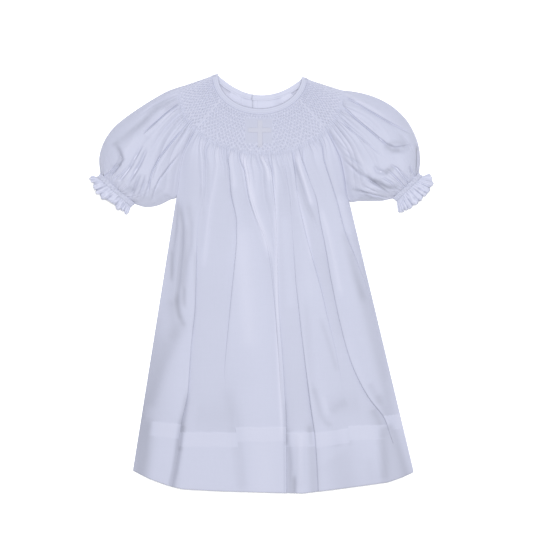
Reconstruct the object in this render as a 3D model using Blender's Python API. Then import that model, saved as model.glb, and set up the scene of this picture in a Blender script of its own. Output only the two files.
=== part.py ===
"""A toddler's smocked bishop dress, laid flat on its back with the sleeves spread.

Metres, +Z up, +Y towards the neck. Right and left are the wearer's, so the right
sleeve lies at -X. The dimensions below are in millimetres, and MM turns them to metres.

The lower layer (back, sleeve undersides) lies on Z = 0. The upper layer (front, sleeve
tops) lies on it. Every cloth piece is a wall: outer rows with the pleats, gathers and
folds, and inner rows that are plain.
"""

import math
from collections import namedtuple

import bmesh
import bpy

MM = 0.001

# Cloth walls and the clear gap that is left at every seam.
WALL = 1.2
BACK_WALL = 1.5
GAP = 0.3
SEAM_SHIFT = 0.2
UPPER_FLOOR = BACK_WALL + GAP

# Neck opening: half an ellipse in front, a parabola behind.
NECK_CENTRE = (-1.2, 248.0)
NECK_RADII = (50.0, 39.4)
NECK_LEVEL = 3.1
BACK_NECK_X = 1.0
BACK_NECK_Y = 224.6
BACK_NECK_CURVE = 0.0087
BACK_NECK_TURN = 13.0

# Binding strip.
BINDING_WIDTH = 6.5
BINDING_THICKNESS = 1.6
BINDING_ROUND = 0.9
BINDING_STEPS = 28
NECK_SEAM = BINDING_WIDTH + 0.5
UNDER_NECK_EASE = 0.6

# Smocked yoke: from the binding out to this ellipse, parted by the raglan seams.
YOKE_CENTRE = (0.0, 225.0)
YOKE_RADII = (98.0, 71.0)
RAGLAN_ANGLE = 36.0
PLEAT_HEIGHT = 1.6
FRONT_PLEATS = 36
SLEEVE_PLEATS = 14
SMOCKED_ROWS = 13
SLEEVE_SMOCKED_ROWS = 12
CABLE_ROWS = 2
CELL_LEAN = 0.22
CELL_RISE = 0.55

# Plain panel at the centre front of the yoke: place in degrees, share of the depth,
# share of the pleat height that is left, and how fast the pleats fade out round it.
PANEL_MIDDLE = 86.0
PANEL_HALF_ANGLE = 14.0
PANEL_SIDE_FADE = 4.0
PANEL_TOP = 0.12
PANEL_FOOT = 0.94
PANEL_FADE = 0.08
PANEL_RELIEF = 0.25

# Skirt: the front's low arch over the back, and its rise over the laps of the placket.
SKIRT_CROWN = 0.6
ARCH_POWER = 4
LAP_CLEARANCE = 0.5
LAP_SPREAD = 26.0
LAP_SPREAD_POWER = 6
LAP_ROWS_END = 2.5
LAP_ROWS_FADE = 1.2

# Folds: the height over which they start, how round they are, and the part of their
# height that the inner face follows.
FOLD_START = 60.0
FOLD_ROUNDNESS = 2.2
FOLD_INSIDE = 0.65

# Gathers run on below the smocking, each with its own height.
GATHER_END = 3.0
GATHER_TAPER = 0.8
GATHER_MEAN = 0.58
GATHER_PACE = 2.3
SLEEVE_GATHER_END = 1.8
CUFF_GATHER_START = 6.6
CUFF_GATHER_HEIGHT = 1.5

# Hem.
HEM_DEPTH = 70.0
HEM_STEP = 0.4
BACK_HEM_SHORTER = 1.5

# Placket and its buttons.
SLOT_HALF_WIDTH = 8.0
SLOT_END_Y = 119.0
LAP_THICKNESS = 1.0
LAP_LEFT = -12.0
LAP_RIGHT = 14.0
OVERLAP_LEFT = -9.6
OVERLAP_RIGHT = 16.0
LAP_END_Y = 113.0
BUTTON_RADIUS = 5.0
BUTTON_THICKNESS = 1.3
BUTTONS = (("button_top", 206.0), ("button_middle", 169.0), ("button_low", 132.0))

# Sleeves: section rows of the armpit and of the cuff, the height of the fold's rim, how
# round the arch over it is, and the rise that creases need before they show.
ARMPIT = 4
SLEEVE_END = 8
CLOSING_START = 3.5
CLOSING_ROWS = 0.8
SLEEVE_RIM = 2.2
SLEEVE_ARCH_POWER = 2.2
SLEEVE_ARCH_FULLNESS = 0.8
SLEEVE_RIM_POWER = 20
CREASE_ROOM = 6.0
CREASE_TAPER = 0.6
SLEEVE_COLUMNS = 24
EASE = 0.06

# Cuffs and ruffles.
CUFF_LENGTH = 5.0
CUFF_HEIGHT = 13.0
CUFF_GATHERS = 14
CUFF_PUCKER = 0.8
CUFF_EASE = 0.8
RUFFLE_START = 2.0 * GAP + 0.5 + CUFF_LENGTH
RUFFLE_WAVES = 16
RUFFLE_WALL = 1.0
RUFFLE_WAVE_HEIGHT = 1.9
RUFFLE_MIDDLE = (6.1, 6.3)
RUFFLE_RISE = (5.1, 5.4)
RUFFLE_UNDER_SHORTER = 0.8

Section = namedtuple("Section", "seam_x seam_y fold_x fold_y bow height")

# Sleeve sections from the smocking (0) past the armpit (4) to the cuff (8): the raglan
# or underarm seam, the fold over the shoulder, the bow towards the cuff, the height.
RIGHT_SECTIONS = (
    Section(-79.3, 183.3, -97.0, 234.9, 7.0, 9.0),
    Section(-87.6, 166.5, -112.5, 229.3, 9.0, 13.5),
    Section(-94.3, 149.4, -130.0, 219.6, 11.0, 18.0),
    Section(-98.0, 127.5, -148.5, 207.8, 13.0, 22.0),
    Section(-101.0, 103.8, -166.8, 194.6, 14.0, 25.0),
    Section(-109.2, 99.2, -179.6, 182.4, 12.0, 26.5),
    Section(-122.9, 92.6, -188.9, 167.6, 9.0, 25.0),
    Section(-138.0, 90.4, -194.0, 149.5, 5.0, 20.0),
    Section(-151.2, 94.2, -192.6, 130.4, 0.0, 13.0),
)
LEFT_SECTIONS = (
    Section(79.3, 183.3, 97.7, 230.6, 7.0, 9.0),
    Section(87.4, 166.5, 117.0, 228.0, 9.0, 13.5),
    Section(95.4, 149.4, 137.0, 222.2, 11.0, 18.0),
    Section(100.3, 126.5, 156.4, 212.0, 13.0, 22.0),
    Section(105.2, 98.8, 172.6, 197.4, 14.0, 25.0),
    Section(118.0, 97.6, 182.6, 181.6, 12.0, 26.5),
    Section(131.0, 97.6, 188.6, 165.6, 9.0, 25.0),
    Section(145.0, 98.0, 191.2, 148.0, 5.0, 20.0),
    Section(158.0, 100.8, 189.4, 131.2, 0.0, 13.0),
)

Crease = namedtuple("Crease", "from_row from_v to_row to_v height half_width")

# Sleeve creases as lines over the upper wall: section row and place across (0 at the
# seam, 1 at the fold). A negative height is a valley.
RIGHT_CREASES = (
    Crease(0.0, 0.80, 4.6, 0.62, -3.4, 0.055),
    Crease(0.2, 0.66, 5.0, 0.52, 2.8, 0.080),
    Crease(0.0, 0.46, 7.4, 0.26, -3.2, 0.060),
    Crease(0.3, 0.32, 7.2, 0.15, 2.6, 0.070),
    Crease(0.0, 0.16, 6.8, 0.07, -1.8, 0.050),
    Crease(4.8, 0.46, 8.0, 0.40, -3.0, 0.060),
    Crease(4.4, 0.74, 8.0, 0.66, -3.4, 0.060),
    Crease(5.0, 0.60, 8.0, 0.54, 2.4, 0.060),
    Crease(5.2, 0.88, 8.0, 0.82, 1.6, 0.060),
)
LEFT_CREASES = (
    Crease(0.0, 0.84, 5.4, 0.86, -2.6, 0.050),
    Crease(0.0, 0.62, 5.6, 0.64, -3.4, 0.060),
    Crease(0.2, 0.73, 5.0, 0.75, 2.8, 0.070),
    Crease(0.2, 0.50, 5.0, 0.50, 2.4, 0.070),
    Crease(0.0, 0.36, 2.6, 0.40, -2.0, 0.050),
    Crease(0.2, 0.14, 7.6, 0.22, -3.4, 0.060),
    Crease(2.0, 0.06, 7.4, 0.08, 1.2, 0.050),
    Crease(5.4, 0.56, 8.0, 0.62, -3.4, 0.060),
    Crease(5.2, 0.72, 8.0, 0.76, 2.0, 0.060),
    Crease(5.8, 0.36, 8.0, 0.42, 1.8, 0.060),
)

# Ruffle reach: place along the cuff from the underarm end, and depth beyond it.
RIGHT_REACH = (
    (-1.0, 15.6), (6.0, 15.0), (13.0, 18.6), (23.0, 16.5),
    (33.0, 20.2), (42.0, 20.0), (52.0, 15.8), (61.0, 11.6),
)
LEFT_REACH = (
    (-6.0, 17.6), (3.0, 21.0), (11.8, 24.0), (21.2, 24.2),
    (33.3, 24.2), (42.0, 22.5), (48.2, 19.6), (51.5, 11.5),
)

# side is the sign of X, raglan and fold are angles round the yoke, and back_reach is
# how far the back neck runs from its lowest point to the corner at this sleeve.
Arm = namedtuple(
    "Arm", "name side raglan fold_start fold_end back_neck_x back_reach sections creases reach"
)
ARMS = (
    Arm(
        name="right", side=-1, raglan=RAGLAN_ANGLE, fold_start=-0.4, fold_end=-8.0,
        back_neck_x=-31.0, back_reach=51.9,
        sections=RIGHT_SECTIONS, creases=RIGHT_CREASES, reach=RIGHT_REACH,
    ),
    Arm(
        name="left", side=1, raglan=180.0 - RAGLAN_ANGLE, fold_start=175.5, fold_end=184.5,
        back_neck_x=31.0, back_reach=47.4,
        sections=LEFT_SECTIONS, creases=LEFT_CREASES, reach=LEFT_REACH,
    ),
)

# Seam rows that the front, the back and both sleeves share between smocking and armpit.
SHARED_ROWS = (0.0, 0.5, 1.0, 1.5, 2.0, 2.5, 3.0, 3.5, 4.0)
SLEEVE_ROWS = SHARED_ROWS + (4.5, 5.0, 5.5, 6.0, 6.5, 7.0, 7.4, 7.7, 8.0)

# Side seams run from the armpits to these hem corners.
HEM_RIGHT = (-153.6, -225.6)
HEM_LEFT = (183.2, -227.4)
SIDE_ROWS = 8

# How far the hem hangs below the line between its corners, across the width.
HEM_DROP = (
    (0.0, 0.0), (0.06, 9.6), (0.135, 18.4), (0.18, 21.6), (0.32, 23.8), (0.53, 25.4),
    (0.605, 25.8), (0.77, 18.6), (0.91, 11.9), (0.958, 6.2), (1.0, 0.0),
)

# Valleys between the skirt's folds, as a share of its width, at these heights (Y of
# the side seam), with the height and lean of the fold at each valley's right.
FOLD_LEVELS = (183.0, 105.0, 50.0, -10.0, -90.0, -150.0, -226.0)
Fold = namedtuple("Fold", "valley heights crest")
FOLDS = (
    Fold(
        valley=(0.000, 0.000, 0.000, 0.000, 0.000, 0.000, 0.000),
        heights=(1.0, 1.2, 2.2, 2.4, 2.0, 1.6, 1.4), crest=0.6,
    ),
    Fold(
        valley=(0.060, 0.045, 0.075, 0.087, 0.072, 0.062, 0.055),
        heights=(1.6, 3.4, 4.2, 3.6, 3.0, 2.6, 2.2), crest=0.7,
    ),
    Fold(
        valley=(0.130, 0.129, 0.134, 0.158, 0.166, 0.160, 0.148),
        heights=(2.0, 4.4, 4.3, 3.2, 2.2, 1.8, 2.2), crest=0.3,
    ),
    Fold(
        valley=(0.262, 0.353, 0.342, 0.330, 0.305, 0.297, 0.290),
        heights=(2.2, 4.2, 4.4, 3.4, 2.4, 1.8, 1.8), crest=0.4,
    ),
    Fold(
        valley=(0.370, 0.470, 0.525, 0.540, 0.548, 0.546, 0.536),
        heights=(2.0, 3.0, 1.6, 0.6, 0.3, 0.3, 0.4), crest=0.5,
    ),
    Fold(
        valley=(0.540, 0.580, 0.572, 0.564, 0.565, 0.562, 0.553),
        heights=(2.2, 4.4, 4.4, 3.8, 4.0, 4.3, 4.5), crest=0.6,
    ),
    Fold(
        valley=(0.640, 0.655, 0.662, 0.664, 0.671, 0.673, 0.666),
        heights=(2.0, 4.4, 4.2, 3.6, 3.2, 3.2, 3.8), crest=0.7,
    ),
    Fold(
        valley=(0.730, 0.785, 0.780, 0.776, 0.790, 0.795, 0.795),
        heights=(1.8, 4.0, 3.6, 3.0, 2.2, 1.6, 1.4), crest=0.5,
    ),
    Fold(
        valley=(0.800, 0.838, 0.838, 0.836, 0.868, 0.905, 0.945),
        heights=(1.6, 3.6, 4.4, 4.5, 3.8, 2.6, 1.6), crest=0.3,
    ),
)
FOLD_COLUMNS = 4

CLOTH_COLOUR = (0.62, 0.65, 0.78, 1.0)
BUTTON_COLOUR = (0.80, 0.80, 0.84, 1.0)


# ---------------------------------------------------------------- small maths


def lerp(a, b, t):
    return a + (b - a) * t


def blend(p, q, t):
    return tuple(lerp(a, b, t) for a, b in zip(p, q))


def smooth(t):
    t = min(1.0, max(0.0, t))
    return t * t * (3.0 - 2.0 * t)


def unit(v):
    size = math.sqrt(sum(c * c for c in v))
    return tuple(c / size for c in v)


def cubic(rows, place):
    """A row of the table between its rows, each value on a smooth curve."""
    last = len(rows) - 1
    i = min(last - 1, max(0, int(math.floor(place))))
    t = place - i
    before, low, high, after = (rows[min(last, max(0, k))] for k in (i - 1, i, i + 1, i + 2))
    values = []
    for a, b, c, d in zip(before, low, high, after):
        bend = 2 * a - 5 * b + 4 * c - d + t * (3 * (b - c) + d - a)
        values.append(b + 0.5 * t * (c - a + t * bend))
    return type(rows[0])(*values) if hasattr(rows[0], "_fields") else tuple(values)


def straight(xs, ys, x):
    """The value at x of a line through (xs, ys)."""
    for low in range(len(xs) - 1):
        if (xs[low + 1] - x) * (xs[-1] - xs[0]) >= 0:
            break
    t = (x - xs[low]) / (xs[low + 1] - xs[low])
    return lerp(ys[low], ys[low + 1], min(1.0, max(0.0, t)))


# ---------------------------------------------------------------- the garment's lines


def yoke_point(angle, depth):
    """Plan point of the yoke: depth 0 at the binding, 1 at the end of the smocking."""
    turn = math.radians(angle)
    middle = blend(NECK_CENTRE, YOKE_CENTRE, depth)
    start = (NECK_RADII[0] + NECK_SEAM, NECK_RADII[1] + NECK_SEAM)
    radii = blend(start, YOKE_RADII, depth)
    return (middle[0] - radii[0] * math.cos(turn), middle[1] - radii[1] * math.sin(turn))


def neck_point(angle):
    """Point of the front neck's edge."""
    turn = math.radians(angle)
    x = NECK_CENTRE[0] - NECK_RADII[0] * math.cos(turn)
    y = NECK_CENTRE[1] - NECK_RADII[1] * math.sin(turn)
    return (x, y)


def back_neck_point(x, out):
    """Point of the back neck's edge at x, moved out from the opening into the dress."""
    away = x - BACK_NECK_X
    slope = 2.0 * BACK_NECK_CURVE * away
    normal = unit((slope, -1.0))
    arm = ARMS[0] if away < 0.0 else ARMS[1]
    corner = (0.97 * arm.side, -0.24)
    bend = smooth((abs(away) - arm.back_reach) / BACK_NECK_TURN + 1.0)
    way = unit(blend(normal, corner, bend))
    y = BACK_NECK_Y + BACK_NECK_CURVE * away * away
    return (x + way[0] * out, y + way[1] * out)


def fold_angle(arm, depth):
    return lerp(arm.fold_start, arm.fold_end, depth)


def seam_point(arm, row):
    """Raglan seam of the front: row -1 at the neck, 0 at the smocking's end, 4 at the armpit."""
    if row <= 0.0:
        return yoke_point(arm.raglan, row + 1.0)
    section = cubic(arm.sections, row)
    return (section.seam_x, section.seam_y)


def side_point(arm, row):
    """Edge of the front or back panel: the raglan seam, then the side seam."""
    if row <= ARMPIT:
        return seam_point(arm, row)
    corner = HEM_RIGHT if arm.side < 0 else HEM_LEFT
    return blend(seam_point(arm, ARMPIT), corner, (row - ARMPIT) / SIDE_ROWS)


def seam_level(row):
    """Height of the upper layer's inner face along the raglan seam."""
    if row <= 0.0:
        return lerp(NECK_LEVEL, NECK_LEVEL - 0.4, row + 1.0)
    return lerp(NECK_LEVEL - 0.4, UPPER_FLOOR, smooth(row / ARMPIT))


# ---------------------------------------------------------------- meshes


def row_shares(row, by_length):
    """Share of the row at each vertex, by count or by its length in plan."""
    if not by_length:
        return [k / (len(row) - 1) for k in range(len(row))] + [2.0]
    steps = [0.0]
    for a, b in zip(row, row[1:]):
        steps.append(steps[-1] + math.hypot(b.co.x - a.co.x, b.co.y - a.co.y) + 1e-9)
    return [step / steps[-1] for step in steps] + [2.0]


def zip_rows(bm, one, two, closed=False):
    """Faces between two rows of vertices that may have different counts."""
    rows = [list(one), list(two)]
    if closed:
        rows = [row + [row[0]] for row in rows]
    by_length = len(rows[0]) != len(rows[1]) and not closed
    shares = [row_shares(row, by_length) for row in rows]
    ends = [len(row) - 1 for row in rows]
    i = j = 0
    while i < ends[0] or j < ends[1]:
        next_i, next_j = shares[0][i + 1], shares[1][j + 1]
        a, b = rows[0][i], rows[1][j]
        if abs(next_i - next_j) < 1e-6:
            corners = (a, rows[0][i + 1], rows[1][j + 1], b)
            i, j = i + 1, j + 1
        elif next_i < next_j:
            corners = (a, rows[0][i + 1], b)
            i += 1
        else:
            corners = (a, rows[1][j + 1], b)
            j += 1
        bm.faces.new(corners)


def finish(bm, name, colour=CLOTH_COLOUR, rough=0.85):
    bmesh.ops.recalc_face_normals(bm, faces=bm.faces)
    mesh = bpy.data.meshes.new(name)
    bm.to_mesh(mesh)
    bm.free()
    mesh.shade_smooth()
    mesh.set_sharp_from_angle(angle=math.radians(50))
    material = bpy.data.materials.new(name)
    material.use_nodes = True
    shader = material.node_tree.nodes["Principled BSDF"]
    shader.inputs["Base Color"].default_value = colour
    shader.inputs["Roughness"].default_value = rough
    shader.inputs["Metallic"].default_value = 0.0
    mesh.materials.append(material)
    piece = bpy.data.objects.new(name, mesh)
    bpy.context.scene.collection.objects.link(piece)
    return piece


def add_rows(bm, rows):
    return [[bm.verts.new([c * MM for c in point]) for point in row] for row in rows]


def sheet_wall(name, outer, inner):
    """A wall with four edges, from rows of outer points and rows of inner points."""
    bm = bmesh.new()
    outer = add_rows(bm, outer)
    inner = add_rows(bm, inner)
    for rows in (outer, inner):
        for one, two in zip(rows, rows[1:]):
            zip_rows(bm, one, two)
    for k in (0, -1):
        zip_rows(bm, outer[k], inner[k])
        zip_rows(bm, [row[k] for row in outer], [row[k] for row in inner])
    return finish(bm, name)


def ring_wall(name, outer, inner):
    """A wall round a hollow, from rings of outer points and rings of inner points."""
    bm = bmesh.new()
    outer = add_rows(bm, outer)
    inner = add_rows(bm, inner)
    for rows in (outer, inner):
        for one, two in zip(rows, rows[1:]):
            zip_rows(bm, one, two, closed=True)
    for k in (0, -1):
        zip_rows(bm, outer[k], inner[k], closed=True)
    return finish(bm, name)


def plate(name, outline, low, high):
    """A flat plate with this outline."""
    bm = bmesh.new()
    bottom = [bm.verts.new((x * MM, y * MM, low * MM)) for x, y in outline]
    top = [bm.verts.new((x * MM, y * MM, high * MM)) for x, y in outline]
    bm.faces.new(bottom)
    bm.faces.new(top)
    zip_rows(bm, bottom, top, closed=True)
    return finish(bm, name)


def grid_normals(rows, closed=False):
    """Unit normals of a grid of points."""
    normals = []
    for i, row in enumerate(rows):
        above, below = rows[max(0, i - 1)], rows[min(len(rows) - 1, i + 1)]
        line = []
        for j in range(len(row)):
            left, right = max(0, j - 1), min(len(row) - 1, j + 1)
            if closed:
                left, right = j - 1, (j + 1) % len(row)
            across = [b - a for a, b in zip(row[left], row[right])]
            along = [b - a for a, b in zip(above[j], below[j])]
            line.append(unit((
                across[1] * along[2] - across[2] * along[1],
                across[2] * along[0] - across[0] * along[2],
                across[0] * along[1] - across[1] * along[0],
            )))
        normals.append(line)
    return normals


def moved(point, way, distance):
    return tuple(p + w * distance for p, w in zip(point, way))


# ---------------------------------------------------------------- smocking


def smocked(row, column, rows, relief):
    """Lean and height of a pleat point: even columns are valleys, odd ones ridges.

    Neighbouring ridges lean together on every other row, so the cells are honeycomb.
    The rows next to the binding are straight cables.
    """
    pleat = column // 2
    cabled = row < CABLE_ROWS or row == rows
    paired = (pleat + row) % 2 == 0
    if column % 2:
        lean = 0.0 if cabled else (CELL_LEAN if paired else -CELL_LEAN)
        return lean, relief
    closed = (pleat + row) % 2 == 1
    return 0.0, 0.0 if cabled or not closed else relief * CELL_RISE


def yoke_relief(angle, depth):
    """Pleat height: low over the plain panel at the centre front."""
    beside = smooth((abs(angle - PANEL_MIDDLE) - PANEL_HALF_ANGLE) / PANEL_SIDE_FADE)
    inside = smooth((depth - PANEL_TOP) / PANEL_FADE) * smooth((PANEL_FOOT - depth) / PANEL_FADE)
    return PLEAT_HEIGHT * lerp(1.0, lerp(PANEL_RELIEF, 1.0, beside), inside)


def gather(j, height):
    """Height at mesh column j: even columns are valleys, odd ones uneven ridges."""
    uneven = GATHER_MEAN + (1.0 - GATHER_MEAN) * math.sin(GATHER_PACE * j)
    return height * (j % 2) * uneven


# ---------------------------------------------------------------- front


def width_share(c):
    """Share of the width at a share c of the yoke's arc."""
    reach = math.cos(math.radians(RAGLAN_ANGLE))
    angle = lerp(RAGLAN_ANGLE, 180.0 - RAGLAN_ANGLE, c)
    return (reach - math.cos(math.radians(angle))) / (2.0 * reach)


def arc_share(share):
    """The inverse of width_share."""
    reach = math.cos(math.radians(RAGLAN_ANGLE))
    angle = math.degrees(math.acos(reach * (1.0 - 2.0 * share)))
    return (angle - RAGLAN_ANGLE) / (180.0 - 2.0 * RAGLAN_ANGLE)


FOLD_ARCS = [arc_share(fold.valley[0]) for fold in FOLDS] + [1.0]


def fold_column(level, c):
    """Share of the width and fold height at a share c of the yoke's arc."""
    valleys = [straight(FOLD_LEVELS, fold.valley, level) for fold in FOLDS] + [1.0]
    k = max(i for i in range(len(FOLDS)) if FOLD_ARCS[i] <= c + 1e-9)
    t = (c - FOLD_ARCS[k]) / (FOLD_ARCS[k + 1] - FOLD_ARCS[k])
    share = lerp(valleys[k], valleys[k + 1], t)
    top = smooth((FOLD_LEVELS[0] - level) / FOLD_START)
    share = lerp(width_share(c), share, top)
    crest = FOLDS[k].crest
    phase = 0.5 * t / crest if t < crest else 0.5 + 0.5 * (t - crest) / (1.0 - crest)
    height = straight(FOLD_LEVELS, FOLDS[k].heights, level) * top
    return share, height * (1.0 - abs(2.0 * phase - 1.0) ** FOLD_ROUNDNESS)


def panel_point(row, share):
    """Plan point of the front between its edges, for rows below the smocking."""
    right, left = (side_point(arm, row) for arm in ARMS)
    right = (right[0] + SEAM_SHIFT, right[1])
    left = (left[0] - SEAM_SHIFT, left[1])
    reach = math.cos(math.radians(RAGLAN_ANGLE))
    across = reach * (1.0 - 2.0 * share)
    arc = math.sqrt(max(0.0, 1.0 - across * across)) - math.sin(math.radians(RAGLAN_ANGLE))
    yoke_drop = YOKE_RADII[1] * arc
    hem_drop = straight([x for x, _ in HEM_DROP], [y for _, y in HEM_DROP], share)
    x, y = blend(right, left, share)
    return (x, y - lerp(yoke_drop, hem_drop, row / (ARMPIT + SIDE_ROWS)))


def front_floor(row, share):
    """Inner height of the front without its folds: it rises over the placket's laps."""
    arched = seam_level(row) + SKIRT_CROWN * (1.0 - abs(2.0 * share - 1.0) ** ARCH_POWER)
    span = side_point(ARMS[1], row)[0] - side_point(ARMS[0], row)[0]
    near = 1.0 / (1.0 + ((share - 0.5) * span / LAP_SPREAD) ** LAP_SPREAD_POWER)
    lap_top = UPPER_FLOOR + 2.0 * LAP_THICKNESS + GAP
    rise = max(0.0, lap_top + LAP_CLEARANCE - seam_level(row) - SKIRT_CROWN)
    return arched + rise * near * smooth(1.0 - (row - LAP_ROWS_END) / LAP_ROWS_FADE)


def skirt_rows():
    """Rows from the end of the smocking to the hem, with a step at the hem's depth."""
    rows = list(SHARED_ROWS[1:])
    rows += [ARMPIT + k for k in range(1, SIDE_ROWS + 1)]
    side = ARMPIT + SIDE_ROWS
    length = seam_point(ARMS[0], ARMPIT)[1] - HEM_RIGHT[1]
    line = side - SIDE_ROWS * HEM_DEPTH / length
    clear = [row for row in rows if abs(row - line) > 0.3]
    return sorted(clear + [line - 0.01, line + 0.01]), line


def make_front():
    rows, hem_line = skirt_rows()
    fine = 2 * FRONT_PLEATS
    outer = []
    for r in range(SMOCKED_ROWS + 1):
        depth = r / SMOCKED_ROWS
        line = []
        for j in range(fine + 1):
            c = j / fine
            angle = lerp(RAGLAN_ANGLE, 180.0 - RAGLAN_ANGLE, c)
            lean, height = smocked(r, j, SMOCKED_ROWS, yoke_relief(angle, depth))
            angle += lean * 2.0 * (180.0 - 2.0 * RAGLAN_ANGLE) / fine
            x, y = yoke_point(angle, depth)
            x += SEAM_SHIFT * ((j == 0) - (j == fine))
            line.append((x, y, front_floor(depth - 1.0, width_share(c)) + WALL + height))
        outer.append(line)
    columns = fold_columns()
    for row in rows:
        if row <= GATHER_END:
            fade = PLEAT_HEIGHT * (1.0 - row / GATHER_END) ** GATHER_TAPER
            cs = [j / fine for j in range(fine + 1)]
            bumps = [gather(j, fade) for j in range(fine + 1)]
        else:
            cs = columns
            bumps = [0.0] * len(cs)
        step = HEM_STEP if row > hem_line else 0.0
        line = []
        for c, bump in zip(cs, bumps):
            line.append(front_point(row, c, 1.0, WALL + step + bump))
        outer.append(line)
    inner = []
    for row in (-1.0, -0.66, -0.33, 0.0):
        line = []
        for c in columns:
            angle = lerp(RAGLAN_ANGLE, 180.0 - RAGLAN_ANGLE, c)
            x, y = yoke_point(angle, row + 1.0)
            x += SEAM_SHIFT * ((c == 0.0) - (c == 1.0))
            line.append((x, y, front_floor(row, width_share(c))))
        inner.append(line)
    for row in rows:
        inner.append([front_point(row, c, FOLD_INSIDE, 0.0) for c in columns])
    return sheet_wall("front", outer, inner)


def fold_columns():
    """Shares of the yoke's arc where the skirt has its mesh columns."""
    columns = []
    for low, high in zip(FOLD_ARCS, FOLD_ARCS[1:]):
        columns += [lerp(low, high, k / FOLD_COLUMNS) for k in range(FOLD_COLUMNS)]
    return columns + [1.0]


def front_point(row, c, fold_part, above):
    """Point of the skirt; fold_part is how much of the folds' height it follows."""
    level = side_point(ARMS[0], row)[1]
    share, height = fold_column(level, c)
    x, y = panel_point(row, share)
    return (x, y, front_floor(row, share) + fold_part * height + above)


# ---------------------------------------------------------------- back


def make_back():
    """One flat panel, with the slot of the placket at the centre of its neck."""
    outline = []
    right, left = ARMS
    for row in (-1.0,) + SHARED_ROWS:
        outline.append(back_edge(right, row))
    for share, drop in HEM_DROP:
        x, y = blend(HEM_RIGHT, HEM_LEFT, share)
        outline.append((x, y - drop + BACK_HEM_SHORTER))
    for row in reversed((-1.0,) + SHARED_ROWS):
        outline.append(back_edge(left, row))
    for x in (24.0, 16.0, SLOT_HALF_WIDTH):
        outline.append(back_neck_point(x, NECK_SEAM))
    outline.append((SLOT_HALF_WIDTH, SLOT_END_Y))
    outline.append((-SLOT_HALF_WIDTH, SLOT_END_Y))
    for x in (-SLOT_HALF_WIDTH, -16.0, -24.0):
        outline.append(back_neck_point(x, NECK_SEAM))
    return plate("back", outline, 0.0, BACK_WALL)


def back_edge(arm, row):
    """Edge of the back along its own raglan seam, which starts at the back neck."""
    if row < 0.0:
        x, y = back_neck_point(arm.back_neck_x, NECK_SEAM)
    else:
        x, y = seam_point(arm, row)
    return (x - arm.side * SEAM_SHIFT, y)


# ---------------------------------------------------------------- sleeves


def upper_plan(arm, row, v):
    """Plan point of the sleeve's top; v is 0 at the seam and 1 at the fold."""
    if row <= 0.0:
        depth = row + 1.0
        return yoke_point(lerp(arm.raglan, fold_angle(arm, depth), v), depth)
    section = cubic(arm.sections, row)
    seam, fold = (section.seam_x, section.seam_y), (section.fold_x, section.fold_y)
    across = unit((fold[0] - seam[0], fold[1] - seam[1]))
    towards_cuff = (across[1] * arm.side, -across[0] * arm.side)
    bow = section.bow * 4.0 * v * (1.0 - v)
    x, y = blend(seam, fold, v)
    return (x + towards_cuff[0] * bow, y + towards_cuff[1] * bow)


def under_plan(arm, row, v):
    """Plan point of the sleeve's underside; v is 0 at the fold and 1 at the back seam."""
    if row > 0.0:
        return upper_plan(arm, row, 1.0 - v)
    depth = row + 1.0
    fold = yoke_point(fold_angle(arm, depth), depth)
    reach = BACK_NECK_X + arm.side * arm.back_reach
    neck = back_neck_point(lerp(reach, arm.back_neck_x, v), NECK_SEAM + UNDER_NECK_EASE)
    start = back_neck_point(reach, NECK_SEAM + UNDER_NECK_EASE)
    near = max(0.0, 1.0 - 12.0 * v) * (1.0 - depth)
    fold_at_neck = yoke_point(fold_angle(arm, 0.0), 0.0)
    x, y = blend(neck, upper_plan(arm, 0.0, 1.0 - v), depth)
    x += near * (fold_at_neck[0] - start[0])
    y += near * (fold_at_neck[1] - start[1])
    return (x, y) if v > 0.0 else fold


def closed_share(row):
    """0 where the sleeve opens into the body, 1 where its own underarm seam closes it."""
    return smooth((row - CLOSING_START) / CLOSING_ROWS)


def crease_height(arm, row, v):
    total = 0.0
    for crease in arm.creases:
        t = (row - crease.from_row) / (crease.to_row - crease.from_row)
        if 0.0 < t < 1.0:
            away = abs(v - lerp(crease.from_v, crease.to_v, t)) / crease.half_width
            total += crease.height * math.sin(math.pi * t) ** CREASE_TAPER * math.exp(-away * away)
    return total


def upper_height(arm, row, v):
    """Outer height of the sleeve's top without its pleats."""
    section = cubic(arm.sections, max(0.0, row))
    edge = lerp(seam_level(min(row, ARMPIT)) + WALL, SLEEVE_RIM + GAP / 2.0, closed_share(row))
    height = section.height
    if row < 0.0:
        height = lerp(NECK_LEVEL + WALL, section.height, smooth(row + 1.0))
    arch = max(0.0, 1.0 - abs(2.0 * v - 1.0) ** SLEEVE_ARCH_POWER) ** SLEEVE_ARCH_FULLNESS
    rim = math.sqrt(max(0.0, 1.0 - v ** SLEEVE_RIM_POWER))
    rise = SLEEVE_RIM + (edge - SLEEVE_RIM) * rim + (height - edge) * arch
    room = smooth((rise - CREASE_ROOM) / CREASE_ROOM)
    return rise + crease_height(arm, row, v) * room


# Underside columns: how far in from an edge they lie, and how high.
EDGE_STEPS = ((0.7, 0.65), (2.3, 0.0))


def under_columns(arm, row):
    """Points of the underside's outer face from the fold to the back seam."""
    closing = closed_share(row)
    fold, seam = under_plan(arm, row, 0.0), under_plan(arm, row, 1.0)
    span = math.dist(fold, seam)
    columns = [(inset / span, height) for inset, height in EDGE_STEPS]
    columns += [(0.3, 0.0), (0.7, 0.0)]
    columns += [(1.0 - inset / span, height * closing) for inset, height in reversed(EDGE_STEPS)]
    columns.append((1.0, (SLEEVE_RIM - GAP / 2.0) * closing))
    return [under_plan(arm, row, v) + (height,) for v, height in columns]


def off_the_seam(arm, row, point):
    """Moves a seam point away from the panel or, past the armpit, leaves it in place."""
    opening = 1.0 - smooth(row - ARMPIT)
    return (point[0] + arm.side * SEAM_SHIFT * opening,) + point[1:]


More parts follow.
